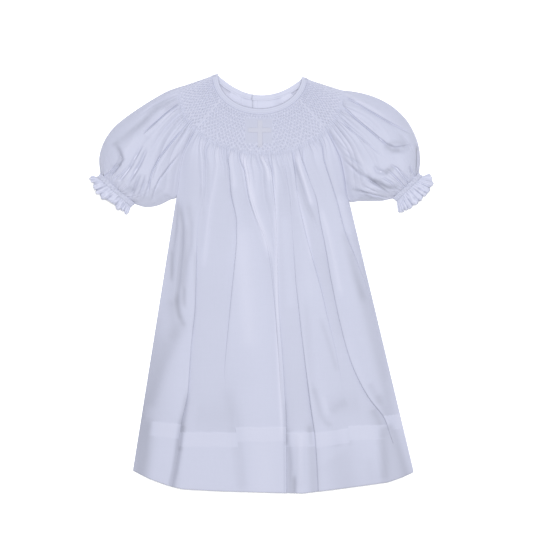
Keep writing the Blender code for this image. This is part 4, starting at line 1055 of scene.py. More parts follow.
def crease_relief(creases, x, y):
    """Height of the creases, with painted shade in their troughs and painted highlight on their ridges."""
    total = np.zeros(np.shape(x))
    tone = np.zeros(np.shape(x))
    for crease in creases:
        away, share = near_line(crease.line, x, y)
        away = away * crease.side
        strength = taper(share, 0.55)
        trough = crease.depth * bell(away, crease.width)
        hump = crease.ridge * smooth(away / (0.9 * crease.width) - 0.3)
        hump = np.where(away > 0, hump * np.exp(-np.maximum(away, 0.0) / crease.reach), 0.0)
        total += strength * (hump - trough)
        tone += strength * (0.06 * hump - 0.05 * trough)
    return total, tone


# How far each section bows towards the cuff.
BOWS = (7.0, 9.0, 11.0, 12.5, 12.5, 10.5, 7.0, 3.0, 0.0)
CUFF_FULLNESS = 2.0
FLATTER = 0.84
TOP_STEPS = 24


def closed_share(row):
    return smooth((np.asarray(row, float) - 3.5) / 0.8)


def upper_xy(arm, row, v):
    """Plan of the sleeve's top; v is 0 at the seam and 1 at the fold."""
    row, v = np.broadcast_arrays(np.asarray(row, float), np.asarray(v, float))
    depth = np.minimum(row, 0.0) + 1.0
    ax, ay = yoke_xy(lerp(arm.raglan, fold_angle(arm, depth), v), depth)
    section = along(arm.sections, np.maximum(row, 0.0))
    seam, fold = section[..., 0:2], section[..., 2:4]
    across = unit(fold - seam)
    bow = np.interp(row, np.arange(9.0), BOWS) * 4.0 * v * (1.0 - v)
    point = lerp(seam, fold, v[..., None])
    bx = point[..., 0] + across[..., 1] * arm.side * bow
    by = point[..., 1] - across[..., 0] * arm.side * bow
    return np.where(row > 0, bx, ax), np.where(row > 0, by, ay)


def under_xy(arm, row, v):
    """Plan of the sleeve's underside; v is 0 at the fold and 1 at the back seam."""
    row, v = np.broadcast_arrays(np.asarray(row, float), np.asarray(v, float))
    bx, by = upper_xy(arm, row, 1.0 - v)
    depth = np.minimum(row, 0.0) + 1.0
    reach = BACK_NECK_X + arm.side * arm.back_reach
    nx, ny = back_neck_xy(lerp(reach, arm.back_neck_x, v), NECK_SEAM + UNDER_NECK_EASE)
    sx, sy = back_neck_xy(np.full_like(v, reach), NECK_SEAM + UNDER_NECK_EASE)
    near = np.maximum(0.0, 1.0 - 12.0 * v) * (1.0 - depth)
    fx, fy = yoke_xy(fold_angle(arm, 0.0), 0.0)
    ex, ey = upper_xy(arm, np.zeros_like(v), 1.0 - v)
    ax = lerp(nx, ex, depth) + near * (fx - sx)
    ay = lerp(ny, ey, depth) + near * (fy - sy)
    gx, gy = yoke_xy(fold_angle(arm, depth), depth)
    ax, ay = np.where(v > 0, ax, gx), np.where(v > 0, ay, gy)
    return np.where(row > 0, bx, ax), np.where(row > 0, by, ay)


def upper_z(arm, row, v):
    section = along(arm.sections, np.maximum(row, 0.0))[..., 4]
    section = section * lerp(1.0, FLATTER, smooth(row / 2.0))
    section = section + CUFF_FULLNESS * smooth((row - 6.6) / 1.4)
    edge = lerp(seam_level(np.minimum(row, ARMPIT)) + WALL, SLEEVE_RIM + GAP / 2.0, closed_share(row))
    height = np.where(row < 0, lerp(NECK_LEVEL + WALL, section, smooth(row + 1.0)), section)
    fullness = lerp(1.25, 0.8, smooth((row + 0.3) / 4.0))
    fullness = lerp(lerp(1.25, 1.0, smooth((row - 1.0) / 5.0)), fullness, smooth((v - 0.2) / 0.3))
    arch = np.maximum(0.0, hat(v, lerp(2.2, 2.5, smooth(row / 4.0)))) ** fullness
    outside = np.maximum(0.0, hat(v, 2.2)) ** 0.8
    arch = lerp(arch, outside, smooth((v - 0.5) / 0.4) * (1.0 - smooth(row / 3.0)))
    rim = np.sqrt(np.maximum(0.0, 1.0 - v ** 20))
    return SLEEVE_RIM + (edge - SLEEVE_RIM) * rim + (height - edge) * arch


# The underside's rounded edges: millimetres from the edge, and height.
UNDER_STEPS = ((0.3, 1.3), (0.9, 0.55), (1.8, 0.15), (3.0, 0.0))


def under_part(arm, rows):
    """Underside from the fold to the back seam: plan and outer height."""
    row = rows[:, None]
    fx, fy = under_xy(arm, rows, np.zeros_like(rows))
    sx, sy = under_xy(arm, rows, np.ones_like(rows))
    span = np.hypot(fx - sx, fy - sy)
    closing = closed_share(rows)
    vs = [inset / span for inset, _ in UNDER_STEPS]
    zs = [np.full_like(rows, height) for _, height in UNDER_STEPS]
    for v in (0.2, 0.4, 0.6, 0.8):
        vs.append(np.full_like(rows, v))
        zs.append(np.zeros_like(rows))
    for inset, height in reversed(UNDER_STEPS):
        vs.append(1.0 - inset / span)
        zs.append(height * closing)
    vs.append(np.ones_like(rows))
    zs.append((SLEEVE_RIM - GAP / 2.0) * closing)
    v, z = np.stack(vs, 1), np.stack(zs, 1)
    x, y = under_xy(arm, row, v)
    return x, y, z


def make_sleeve(arm):
    count = SLEEVE_PLEATS * PLEAT_COLUMNS
    columns = np.arange(count + 1)
    v = columns[None, :] / count
    rows = np.concatenate([np.linspace(0.0, 1.0, YOKE_ROWS * ROW_STEPS + 1) - 1.0,
                           np.linspace(0.0, ARMPIT, 46)[1:], np.linspace(ARMPIT, SLEEVE_END, 61)[1:]])
    row = rows[:, None]
    below = row > 0
    u = v * SLEEVE_PLEATS - 0.5
    depth = np.minimum(row, 0.0) + 1.0
    height, pull = smocking(*by_hand(u + 7.0, depth * YOKE_ROWS))
    drawn = stitched(u, depth) * (row < 0.001)
    inside = smooth(np.minimum(columns, count - columns)[None, :] / 6.0)
    swell = 1.0 - v ** 8
    shift = pull * drawn * inside / SLEEVE_PLEATS
    x, y = upper_xy(arm, row, np.clip(v + shift, 0.0, 1.0))
    z = upper_z(arm, row, v * np.ones_like(row))
    end_x, end_y = upper_xy(arm, 0.0, v)
    fall = np.where(below, np.hypot(x - end_x, y - end_y), 0.0)
    flat = PLEAT_MEAN + 0.25 * np.cos(TURN * u)
    loose = gathers(u, fall, 2.0 + arm.side) * 0.8 * smooth((columns + 1.0) / 5.0)[None, :]
    end = yoke_end(depth)
    from_seam = smooth(columns / 4.0)[None, :]
    relief = lerp(lerp(PLEAT_HEIGHT * flat, loose, end), PLEAT_HEIGHT * height, drawn)
    relief = lerp(PLEAT_HEIGHT * PLEAT_MEAN * (1.0 - end), relief, from_seam)
    room = smooth((z - 4.0) / 6.0)
    cuff_x, cuff_y = upper_xy(arm, SLEEVE_END, v)
    rise = np.hypot(x - cuff_x, y - cuff_y)
    puckers = 24.0 * v + 0.7 * np.sin(9.0 * v) + 0.3 * np.sin(31.0 * v)
    close = 0.5 + 0.5 * np.cos(TURN * puckers)
    reach = 4.0 + 13.0 * chance(np.round(puckers), 5.0 + arm.side)
    gather = 1.25 * close ** 1.3 * np.exp(-rise / reach) * smooth((z - 2.6) / 2.0)
    near_seam = np.where(row < 0.001, smooth((count - columns)[None, :] / 4.0), inside)
    relief = relief * near_seam * swell + gather * inside
    creased, tone = crease_relief(CREASES[arm.name], x, y)
    relief = relief + creased * (np.where(below, room, 0.0) * smooth(row / 0.3))
    # Painted tone: shade and highlight of the creases, the listed patches (stronger on the left arm), the
    # smocking and the gathers; painted light near the cuff and along the seam side.
    tone = tone + (0.62 + 0.14 * arm.side) * shade_of(SLEEVE_SHADES[arm.name], x, y)
    tone = tone * smooth(row / 0.3) + smocking_painted_shade(height, drawn) * from_seam
    tone = tone + 0.10 * (gather - 0.5) * np.exp(-rise / 9.0)
    tone = tone + 0.22 * np.exp(-rise / 12.0) * (row > ARMPIT)
    tone = tone + 0.16 * smooth(1.0 - v / 0.35) * smooth((row - 0.5) / 2.0)
    relief = relief + 0.3 * ripple(x, y, 8.0, 1.0 + arm.side) * room * below
    z = z + relief
    seam_open = 1.0 - smooth(rows - ARMPIT)
    x[:, 0] -= arm.side * SEAM_LAP * seam_open
    ux, uy, uz = under_part(arm, rows)
    ux[:, -1] += arm.side * SEAM_SHIFT * seam_open
    layers = np.clip(NEUTRAL + np.concatenate([tone + 0.0 * x, 0.0 * ux], 1), 0.0, 1.0)
    sheet = Sheet()
    outer = sheet.grid(*(np.concatenate(pair, 1) for pair in ((x, ux), (y, uy), (z, uz))), layers=layers)
    # The inner face: a coarse tube, moved inwards from the sleeve without its pleats.
    few = np.concatenate([np.linspace(-1.0, 0.0, 7), np.linspace(0.0, SLEEVE_END, 25)[1:]])
    w = np.linspace(0.0, 1.0, TOP_STEPS + 1)
    w = w - 0.06 * np.sin(TURN * w)
    px, py = upper_xy(arm, few[:, None], w[None, :])
    pz = upper_z(arm, few[:, None], w[None, :] * np.ones((len(few), 1)))
    hollow = np.minimum(0.0, crease_relief(CREASES[arm.name], px, py)[0])
    pz = pz + 0.8 * hollow * smooth((pz - 5.0) / 6.0) * (few[:, None] > 0)
    qx, qy, qz = under_part(arm, few)
    plain = np.stack([np.concatenate(pair, 1) for pair in ((px, qx), (py, qy), (pz, qz))], -1)
    normal = grid_normals(plain)
    middle = normal[:, TOP_STEPS // 2, None, 2:3]
    normal = normal * np.where(middle < 0, -1.0, 1.0)
    closing = closed_share(few)[:, None]
    section = along(arm.sections, np.maximum(few, 0.0))
    out = unit(section[:, 0:2] - section[:, 2:4])
    out = np.concatenate([out, np.zeros((len(few), 1))], 1)
    normal[:, 0] = unit(lerp(np.array((0.0, 0.0, 1.0)), out, closing))
    normal[:, -1] = unit(lerp(np.array((0.0, 0.0, -1.0)), out, closing))
    inset = np.where(np.arange(plain.shape[1]) <= TOP_STEPS, 1.1, SHELL)[None, :, None]
    inner = sheet.grid(*np.moveaxis(plain - normal * inset, -1, 0), layers=0.9)
    sheet.shell(outer, inner)
    name = "sleeve_" + arm.name
    stitches = smocking_stitches(x, y, z, drawn, SLEEVE_PLEATS, YOKE_ROWS)
    stitches.build("stitches_" + arm.name, thread, slot=name)
    return sheet.build("sleeve_cloth_" + arm.name, skirt_cloth, [name])


# ---- cross and smocking thread


UP = (0.0, 0.0, 1.0)
THREAD_LIFT = 0.12
STITCH_SIZE = (1.5, 0.5, 0.5)


def beads(sheet, centres, ways, ups, length, width, height, steps=6, sides=6):
    """Adds short thick stitches, each a closed capsule that lies along its way."""
    for centre, way, up in zip(centres, ways, ups):
        way, up = unit(np.array(way)), unit(np.array(up))
        side = np.cross(up, way)
        t = np.linspace(-1.0, 1.0, steps + 1)[1:-1, None]
        turn = turns(sides)
        swell = np.sqrt(1.0 - np.abs(t) ** 2.5)
        ring = (centre + t[..., None] * length / 2.0 * way
                + swell[..., None] * (np.cos(turn)[..., None] * width / 2.0 * side
                                      + np.sin(turn)[..., None] * height / 2.0 * up))
        ids = sheet.grid(*np.moveaxis(ring, -1, 0))
        sheet.quads(ids, closed=True)
        half = way * length / 2.0
        for row, tip in ((ids[0], centre - half), (ids[-1], centre + half)):
            end = int(sheet.grid(*(np.array([[value]]) for value in tip))[0, 0])
            for a, b in zip(row, np.roll(row, -1)):
                sheet.faces.append((int(a), int(b), end))


def smocking_stitches(x, y, z, drawn, pleats, rows):
    """Stitches over the pleats that are drawn together, from the grid of a smocked piece."""
    points = np.stack([x, y, z], -1)
    half = PLEAT_COLUMNS // 2
    centres, ways = [], []
    for r in range(1, rows):
        for k in range(r % 2, pleats - 1, 2):
            i, j = r * ROW_STEPS, (k + 1) * PLEAT_COLUMNS
            if drawn[i, j] >= 0.6:
                centres.append(points[i, j] + (0.0, 0.0, THREAD_LIFT))
                ways.append((points[i, j + half] - points[i, j - half]) * (1.0, 1.0, 0.2))
    sheet = Sheet()
    beads(sheet, centres, ways, [UP] * len(centres), *STITCH_SIZE)
    return sheet


def nearest_height(points, x, y):
    """Height of the nearest of these points at each place."""
    flat = points.reshape(-1, 3)
    away = (flat[None, :, 0] - np.ravel(x)[:, None]) ** 2 + (flat[None, :, 1] - np.ravel(y)[:, None]) ** 2
    return flat[np.argmin(away, 1), 2].reshape(np.shape(x))


# The cross's upright and its arms: west, east, south and north edge.
CROSS_BARS = ((-4.2, 1.9, 161.9, 194.3), (-15.6, 12.0, 179.9, 185.4))
THREAD_PITCH = 0.56
COARSER = np.s_[::8]


def make_cross(cover):
    """A plain cross in satin stitch: threads lie side by side across each bar."""
    sheet = Sheet()
    for k, (x0, x1, y0, y1) in enumerate(CROSS_BARS):
        tall = y1 - y0 > x1 - x0
        long, wide = (y1 - y0, x1 - x0) if tall else (x1 - x0, y1 - y0)
        s = np.linspace(0.0, 1.0, int(long / 0.14))[:, None]
        t = np.linspace(0.0, 1.0, 15)[None, :]
        from_middle = 2.0 * t - 1.0
        thread_count = long / THREAD_PITCH
        ridge = np.abs(np.sin(np.pi * thread_count * s)) ** 0.7
        round_off = hat(t, 4) ** 0.5
        ends = smooth(from_ends(s) * long / 0.7)
        fray = 0.16 * np.sin(thread_count * np.pi * 2.0 * s + 4.0)
        fray = fray * (np.abs(from_middle) ** 3) * np.sign(from_middle)
        a, b = s * long + 0.0 * t, t * wide + fray
        x, y = np.broadcast_arrays(*((x0 + b, y0 + a) if tall else (x0 + a, y0 + b)))
        base = nearest_height(cover, x[COARSER], y[COARSER])
        steps = np.arange(len(x))
        base = np.stack([np.interp(steps, steps[COARSER], column) for column in base.T], 1)
        level = base.mean() * 0.5 + base * 0.5
        top = sheet.grid(x, y, level + 0.02 + round_off * ends * (0.10 + 0.08 * ridge) + 0.03 * k)
        low = sheet.grid(x[COARSER], y[COARSER], level[COARSER] - 0.3)
        sheet.shell(top, low)
    return sheet.build("cross", cross_thread, slot="front")


# ---- neck binding

BINDING_HALF = 0.8
LAP_THICKNESS = 1.0
OVERLAP_EDGE = -9.6
FRONT_PUCKER = 0.12

# The strip's half section: across from the neck's edge, and half thickness.
STRIP_ACROSS = np.array((0.0, 0.12, 0.5, 1.0, 1.6, 2.2, 2.8, 3.4, 4.0, 4.5, 4.9, 5.3, 5.8, 6.3, 6.8, 7.1))
STRIP_HALF = np.array((0.0, 0.45, 0.72, 0.82, 0.88, 0.91, 0.93, 0.94, 0.94, 0.93, 0.92, 0.91, 0.89,
                       0.86, 0.78, 0.45))


def strip_section(outer, inner, pucker):
    """Section of the folded strip: its outer face, round the far edge, and its inner face.

    outer and inner are the places of the stitch lines on each face.
    """
    full = STRIP_HALF > 0.5
    faces = []
    for places in (outer, inner):
        height = STRIP_HALF.copy()
        for place in places:
            height -= 0.2 * bell(STRIP_ACROSS - place, 0.3) * full
        faces.append(height)
    top = faces[0] + pucker * smooth((STRIP_ACROSS - 2.5) / 3.0) * full
    return np.concatenate([STRIP_ACROSS, STRIP_ACROSS[:0:-1]]), np.concatenate([top, -faces[1][:0:-1]])


def sweep(sheet, frames):
    """One strip along frames: edge, way across, up, stitch lines, puckers' size and pitch, painted tone."""
    rings, tones, walked, last = [], [], 0.0, None
    for edge, way, up, (outer, inner), (size, pitch), tone in frames:
        edge, way, up = np.array(edge), np.array(way), np.array(up)
        walked += 0.0 if last is None else float(np.linalg.norm(edge - last))
        last = edge
        wave = math.sin(TURN * walked / pitch + 0.7 * math.sin(walked / 5.0))
        across, height = strip_section(outer, inner, size * wave)
        height = height + 0.05 * math.sin(walked / 3.7) + 0.04 * math.sin(walked / 1.9 + 1.0)
        rings.append(edge + across[:, None] * way + height[:, None] * up)
        # Painted shade along the stitch lines, and a painted shadow line at the front strip's inner edge.
        groove = sum(bell(across - place, 0.45) for place in set(outer) | set(inner))
        inner_edge_shade = 0.4 * (size == FRONT_PUCKER) * bell(across, 0.7)
        tones.append(NEUTRAL + tone - 0.16 * groove - inner_edge_shade)
    ring = np.array(rings)
    ids = sheet.grid(ring[..., 0], ring[..., 1], np.maximum(ring[..., 2], OFF_FLOOR),
                     layers=np.clip(np.array(tones), 0.0, 1.0))
    sheet.quads(ids, closed=True)
    sheet.faces.append(tuple(int(i) for i in ids[0]))
    sheet.faces.append(tuple(int(i) for i in ids[-1]))


# Places of the stitch lines on the strip's two faces: at the back and at the front.
BACK_LINES = ((5.2,), (2.3, 4.9))
FRONT_LINES = ((5.3,), (3.0,))


def make_binding():
    right, left = ARMS

    def back_frames(xs, raised, size, pitch):
        frames = []
        for x in xs:
            ex, ey = back_neck_xy(x, 0.0)
            fx, fy = back_neck_xy(x, 1.0)
            # The back strip is painted 0.2 lighter, with a painted shadow at the overlap's edge.
            shadow = 0.5 * (size > 0.1) * math.exp(-((x - OVERLAP_EDGE + 0.7) / 0.7) ** 2)
            frames.append(((ex, ey, BINDING_HALF + float(raised(x))), (fx - ex, fy - ey, 0.0),
                           (0.0, 0.0, -1.0), BACK_LINES, (size, pitch), 0.2 - shadow))
        return frames

    def corner_frames(arm, angles):
        ex, ey = neck_xy(arm.fold_start)
        reach = BACK_NECK_X + arm.side * arm.back_reach
        fx, fy = back_neck_xy(reach, 0.0)
        gx, gy = back_neck_xy(reach, 1.0)
        way = np.array((gx - fx, gy - fy, 0.0))
        out = np.array((way[1] * arm.side, -way[0] * arm.side, 0.0))
        out = out if out[1] >= 0.0 else -out
        radius = NECK_LEVEL / 2.0
        frames = []
        for turn in angles:
            up = out * math.sin(turn) + np.array((0.0, 0.0, math.cos(turn)))
            plan = lerp(np.array((ex, ey, 0.0)), np.array((fx, fy, 0.0)), turn / math.pi)
            centre = plan + np.array((0.0, 0.0, BINDING_HALF + radius)) + up * radius
            # Painted 0.15 lighter, as the back strip.
            frames.append((centre, way, up, BACK_LINES, (0.05, 2.2), 0.15))
        return frames

    over_lift = BACK_WALL + LAP_THICKNESS + 0.25
    half_turn = np.linspace(0.0, math.pi, 13)
    middle = []
    for angle in np.linspace(right.fold_start, left.fold_start, 220)[1:-1]:
        ex, ey = neck_xy(angle)
        fx, fy = yoke_xy(angle, 0.0)
        share = min(1.0, max(0.0, (angle - RAGLAN) / (180.0 - 2.0 * RAGLAN)))
        level = float(front_floor(np.array(-1.0), width_share(share)))
        way = np.array((fx - ex, fy - ey, 0.0)) / NECK_SEAM
        middle.append(((ex, ey, level + BINDING_HALF), way, UP, FRONT_LINES, (FRONT_PUCKER, 2.2), 0.0))
    under = back_frames(np.linspace(7.0, -49.0, 90),
                        lambda x: BACK_WALL * smooth((x + 24.0) / 11.0), size=0.2, pitch=3.1)
    over = back_frames(np.linspace(45.6, OVERLAP_EDGE, 90),
                       lambda x: over_lift * smooth((24.0 - x) / 12.0), size=0.05, pitch=4.3)
    sheet = Sheet()
    sweep(sheet, under + corner_frames(right, half_turn[::-1]) + middle
          + corner_frames(left, half_turn) + over)
    return sheet.build("neck_strip", trim_cloth, ["neck_binding"])


# ---- cuffs and ruffles

CUFF_LENGTH = 5.0
CUFF_HEIGHT = 13.0
CUFF_EASE = 0.8
RUFFLE_START = CUFF_LENGTH + 0.1
RUFFLE_MIDDLE = 6.3
RUFFLE_RISE = (6.2, 5.2)
RUFFLE_FLOOR = 0.45

# How far each ruffle's edge reaches out of its cuff: place along the cuff, reach.
REACH = {
    "right": np.array(((-1.0, 15.6), (6.0, 15.0), (13.0, 18.6), (23.0, 16.5),
                       (33.0, 20.2), (42.0, 20.0), (52.0, 15.8), (61.0, 11.6))),
    "left": np.array(((-6.0, 17.6), (3.0, 21.0), (11.8, 24.0), (21.2, 24.2),
                      (33.3, 24.2), (42.0, 22.5), (48.2, 19.6), (51.5, 11.5))),
}


def cuff_width(arm):
    seam, fold = arm.sections[-1][0:2], arm.sections[-1][2:4]
    return float(np.linalg.norm(fold - seam))


def cuff_xyz(arm, across, out, z):
    """Place across the cuff from the seam, and out towards the hand."""
    seam, fold = arm.sections[-1][0:2], arm.sections[-1][2:4]
    run = unit(fold - seam)
    way = np.array((run[1] * arm.side, -run[0] * arm.side))
    return (seam[0] + run[0] * across + way[0] * out, seam[1] + run[1] * across + way[1] * out, z)


def make_cuff(arm):
    """Puckered band: the elastic gathers its cloth into short uneven ridges."""
    width = cuff_width(arm)
    turn = turns(420)
    step = np.linspace(0.0, 1.0, 11)[:, None]
    low = np.sin(turn) < -1e-6
    phase = turn * 38.0 + 1.6 * np.sin(3.0 * turn) + 0.9 * np.sin(7.0 * turn + 1.0)
    ridge = (0.5 + 0.5 * np.cos(phase)) ** 1.2
    uneven = 0.7 + 0.5 * np.sin(5.0 * turn + 2.0 * step)
    waist = 1.0 - 0.45 * np.sin(math.pi * step)
    crinkle = 0.5 * np.sin(phase * 0.37 + 7.0 * step) + 0.4 * np.sin(phase * 0.71 - 5.0 * step + 1.0)
    bump = (1.25 * ridge * uneven * waist + 0.45 * crinkle) * ~low
    sheet = Sheet()
    rings = []
    for inset in (0.0, SHELL):
        half = width / 2.0 - CUFF_EASE - inset + bump
        middle = CUFF_HEIGHT / 2.0
        rise = np.abs(np.sin(turn)) ** np.where(low, 0.4, 0.9) * (middle - inset + 0.8 * bump)
        z = middle + np.where(low, -rise, rise) + 0.0 * step
        x, y, z = cuff_xyz(arm, width / 2.0 + half * np.cos(turn), lerp(-0.5, GAP + CUFF_LENGTH, step),
                           np.maximum(z, OFF_FLOOR))
        # Painted tone: darker overall, lighter on the puckers' ridges.
        rings.append(sheet.grid(x, y, z, layers=np.clip(0.42 + 0.14 * bump + 0.0 * z, 0.0, 1.0)))
    sheet.tube(*rings)
    return sheet.build("cuff_cloth_" + arm.name, skirt_cloth, ["cuff_" + arm.name])


def make_ruffle(arm):
    """Frill: fine uneven gathers that open towards a scalloped edge."""
    width = cuff_width(arm)
    reach = REACH[arm.name]
    turn = turns(720)
    t = np.linspace(0.0, 1.0, 17)[:, None]
    low = np.sin(turn) < 0.0
    fine = turn * 46.0 + 1.8 * np.sin(3.0 * turn + 0.4) + 1.0 * np.sin(8.0 * turn)
    loose = turn * 22.0 + 2.0 * np.sin(2.0 * turn + 1.0 + arm.side) + 1.2 * np.sin(5.0 * turn)
    small, large = np.sin(fine), np.sin(loose)
    opening = smooth(t * 1.15)
    wave = 0.6 * small * (1.0 - 0.5 * opening) + 0.9 * large * opening
    size = 1.45 * lerp(0.45, 1.0, t) * (0.8 + 0.2 * np.sin(3.0 * turn))
    edge = lerp(reach[0, 0], reach[-1, 0], 0.5 + 0.5 * np.cos(turn))
    start = width / 2.0 + (width / 2.0 - 2.0) * np.cos(turn)
    across = lerp(start, edge, t) + wave * size * 0.55 * np.cos(turn)
    across = across + 0.8 * np.cos(loose) * opening * np.abs(np.sin(turn))
    depth = np.interp(edge, reach[:, 0], reach[:, 1]) - 3.0 * low
    scallop = 0.9 * large + 0.7 * np.cos(loose * 0.5 + 1.0) + 0.3 * small
    out = lerp(RUFFLE_START, depth + scallop, t)
    drop = np.abs(np.sin(turn)) ** 0.5 * (RUFFLE_MIDDLE - RUFFLE_FLOOR - 0.4 * size)
    above = RUFFLE_MIDDLE + np.sin(turn) * (lerp(*RUFFLE_RISE, t) + size * wave)
    z = np.where(low, RUFFLE_MIDDLE - drop + 0.4 * size * wave, above)
    z = z - 1.2 * smooth((t - 0.82) / 0.18) * ~low * np.sin(turn)
    x, y, z = cuff_xyz(arm, across, out, z)
    crinkle = ripple(x, y, 1.1, 3.0 + arm.side) + 0.7 * ripple(x, y, 0.7, 5.0)
    crinkle = crinkle * ~low * np.sin(turn) * smooth(t / 0.15)
    z = np.maximum(z + 0.5 * crinkle, RUFFLE_FLOOR)
    points = np.stack(np.broadcast_arrays(x, y, z), -1)
    # Painted highlight on the crests of the crinkles and waves on top, and painted shade in their troughs.
    tone = np.clip(NEUTRAL + 0.12 * crinkle + 0.16 * wave * ~low, 0.0, 1.0)
    normal = grid_normals(points, closed=True)
    sheet = Sheet()
    rings = [sheet.grid(*np.moveaxis(points + side * 0.3 * normal, -1, 0), layers=tone)
             for side in (1, -1)]
    sheet.tube(*rings)
    return sheet.build("ruffle_cloth_" + arm.name, frill_cloth, ["ruffle_" + arm.name])


# ---- back, laps, buttons

BACK_SHORTER = 1.5
SLOT = 8.0
SLOT_END = 119.0
BACK_PLEATS = 44
SIDE_COLUMNS, SLOT_COLUMNS = 132, 12


def back_edge_xy(arm, row):
    row = np.asarray(row, float)
    nx, ny = back_neck_xy(arm.back_neck_x, NECK_SEAM)
    sx, sy = seam_xy(arm, 0.0)
    t = np.clip(row + 1.0, 0.0, 1.0)
    lx, ly = side_xy(arm, np.maximum(row, 0.0))
    x = np.where(row < 0.0, lerp(nx, sx, t), lx) - arm.side * SEAM_SHIFT
    return x, np.where(row < 0.0, lerp(ny, sy, t), ly)


def make_back():
    rows = np.concatenate([np.linspace(-1.0, 0.0, 61), np.linspace(0.0, LAST_ROW, 101)[1:]])
    row = rows[:, None]
    a, b = SIDE_COLUMNS, SIDE_COLUMNS + SLOT_COLUMNS
    rx, ry = back_edge_xy(ARMS[0], row)
    lx, ly = back_edge_xy(ARMS[1], row)
    count = a + b
    c = np.linspace(0.0, 1.0, count + 1)[None, :]
    s = np.arange(count + 1)
    first = lerp(rx, -SLOT, np.clip(s / a, 0, 1)[None, :])
    last = lerp(SLOT, lx, np.clip((s - b) / a, 0, 1)[None, :])
    mid = lerp(-SLOT, SLOT, np.clip((s - a) / SLOT_COLUMNS, 0, 1)[None, :])
    x = np.where(s <= a, first, np.where(s >= b, last, mid))
    share = (x - rx) / (lx - rx)
    neck_y = back_neck_xy(x[0], BACK_EDGE)[1]
    dip = lerp(ry[0], ly[0], share[0]) - neck_y
    hem = np.interp(share, HEM_DROP[:, 0], HEM_DROP[:, 1]) - BACK_SHORTER
    t = (row + 1.0) / (LAST_ROW + 1.0)
    y = lerp(ry, ly, share) - lerp(dip[None, :], hem, t)
    u = (1.0 - c) * BACK_PLEATS
    height, _ = smocking(u, (row + 1.0) * YOKE_ROWS)
    fall = np.maximum(row, 0.0) * 22.0
    groove = 0.45 * (1.0 - height) * (row <= 0.0)
    groove = groove + 0.4 * (1.0 - np.abs(np.cos(np.pi * u))) * np.exp(-fall / 22.0) * (row > 0.0)
    groove = groove + 0.22 * (0.5 + 0.5 * np.cos(TURN * u / 7.3)) * smooth(fall / 20.0)
    step = 0.15 * smooth((y + 175.0) / 0.8)
    border = smooth(np.minimum(from_ends(share) * (lx - rx) / 3.0, (LAST_ROW - row) * 6.0))
    bottom = np.clip((groove + step) * border, 0.0, BACK_WALL / 2.0)
    pucker = 0.16 * np.sin(TURN * u) + 0.12 * ripple(x, y, 2.4, 2.0)
    top = BACK_WALL + (pucker - 0.1) * (row <= 1.0) * smooth((x < -SLOT) * 1.0 + 0.35)
    end = int(np.argmin(np.abs(y[:, count // 2] - SLOT_END)))
    y[end, a:b + 1] = SLOT_END
    sheet = Sheet()
    # Painted shade in the pleats' and folds' grooves; lighter above the hem's step.
    tone = np.clip(NEUTRAL - 0.3 * groove + 0.3 * step / 0.15, 0.0, 1.0)
    outer = sheet.grid(x, y, bottom, layers=tone)
    inner = sheet.grid(x, y, top, layers=0.75)
    for ids, flip in ((outer, True), (inner, False)):
        sheet.quads(ids[:, :a + 1], flip)
        sheet.quads(ids[:, b:], flip)
        sheet.quads(ids[end:, a:b + 1], flip)
    for line in (np.s_[:, 0], np.s_[:, -1], np.s_[-1, :], np.s_[0, :a + 1], np.s_[0, b:],
                 np.s_[:end + 1, a], np.s_[:end + 1, b], np.s_[end, a:b + 1]):
        sheet.strip(outer[line], inner[line])
    return sheet.build("back_panel", inside_cloth, ["back"])


LAP_END = 113.0
LAP_LENGTH = 105.0
LAP_STITCHES = (1.4, 5.4)


def make_lap(name, low_x, high_x, level, ramp, node):
    """A folded strip with two rows of stitching; ramp is (from x, to x, drop) at its sewn side."""
    a = np.linspace(0.0, 1.0, 61)[None, :]
    t = np.linspace(0.0, 1.0, 161)[:, None]
    x = lerp(low_x, high_x, a) + 0.0 * t
    top_y = back_neck_xy(x[0], BACK_EDGE)[1][None, :]
    y = lerp(LAP_END, top_y, t)
    free = (x - low_x) if ramp[1] > ramp[0] else (high_x - x)
    edge = np.minimum(free, t * LAP_LENGTH)
    roll = 0.42 * (1.0 - np.exp(-edge / 0.35))
    stitch = sum(bell(edge - place, 0.3) for place in LAP_STITCHES)
    lines = bell((top_y - y) - 2.9, 0.3)
    fall = ramp[2] * smooth((x - ramp[0]) / (ramp[1] - ramp[0]))
    middle = level + LAP_THICKNESS / 2.0
    z = middle + roll - 0.14 * stitch - 0.16 * lines + 0.05 * ripple(x, y, 5.0, level) - fall
    low = middle - roll + 0.1 * stitch + 0.05 - fall
    shadow = 0.4 * (low_x < OVERLAP_EDGE) * bell(x - OVERLAP_EDGE + 0.7, 0.7)
    # Painted tone: lighter than plain cloth, with painted shade along the stitching and the line below its
    # top, and a painted shadow at the overlap's edge.
    tone = np.clip(0.62 - 0.2 * stitch - 0.2 * lines - shadow, 0.0, 1.0)
    sheet = Sheet()
    sheet.shell(sheet.grid(x, y, z, layers=tone), sheet.grid(x, y, low, layers=NEUTRAL))
    return sheet.build(name, inside_cloth, [node])


BUTTONS = (("button_top", 206.0), ("button_middle", 169.0), ("button_low", 132.0))
BUTTON_PROFILE = np.array((
    (0.0, 0.45), (0.6, 0.45), (2.6, 0.5), (3.4, 0.62), (3.9, 0.3), (4.4, 0.12),
    (4.85, 0.2), (5.0, 0.5), (4.95, 1.1), (4.6, 1.35), (2.0, 1.4), (0.0, 1.4),
))
BUTTON_HOLE = 0.9


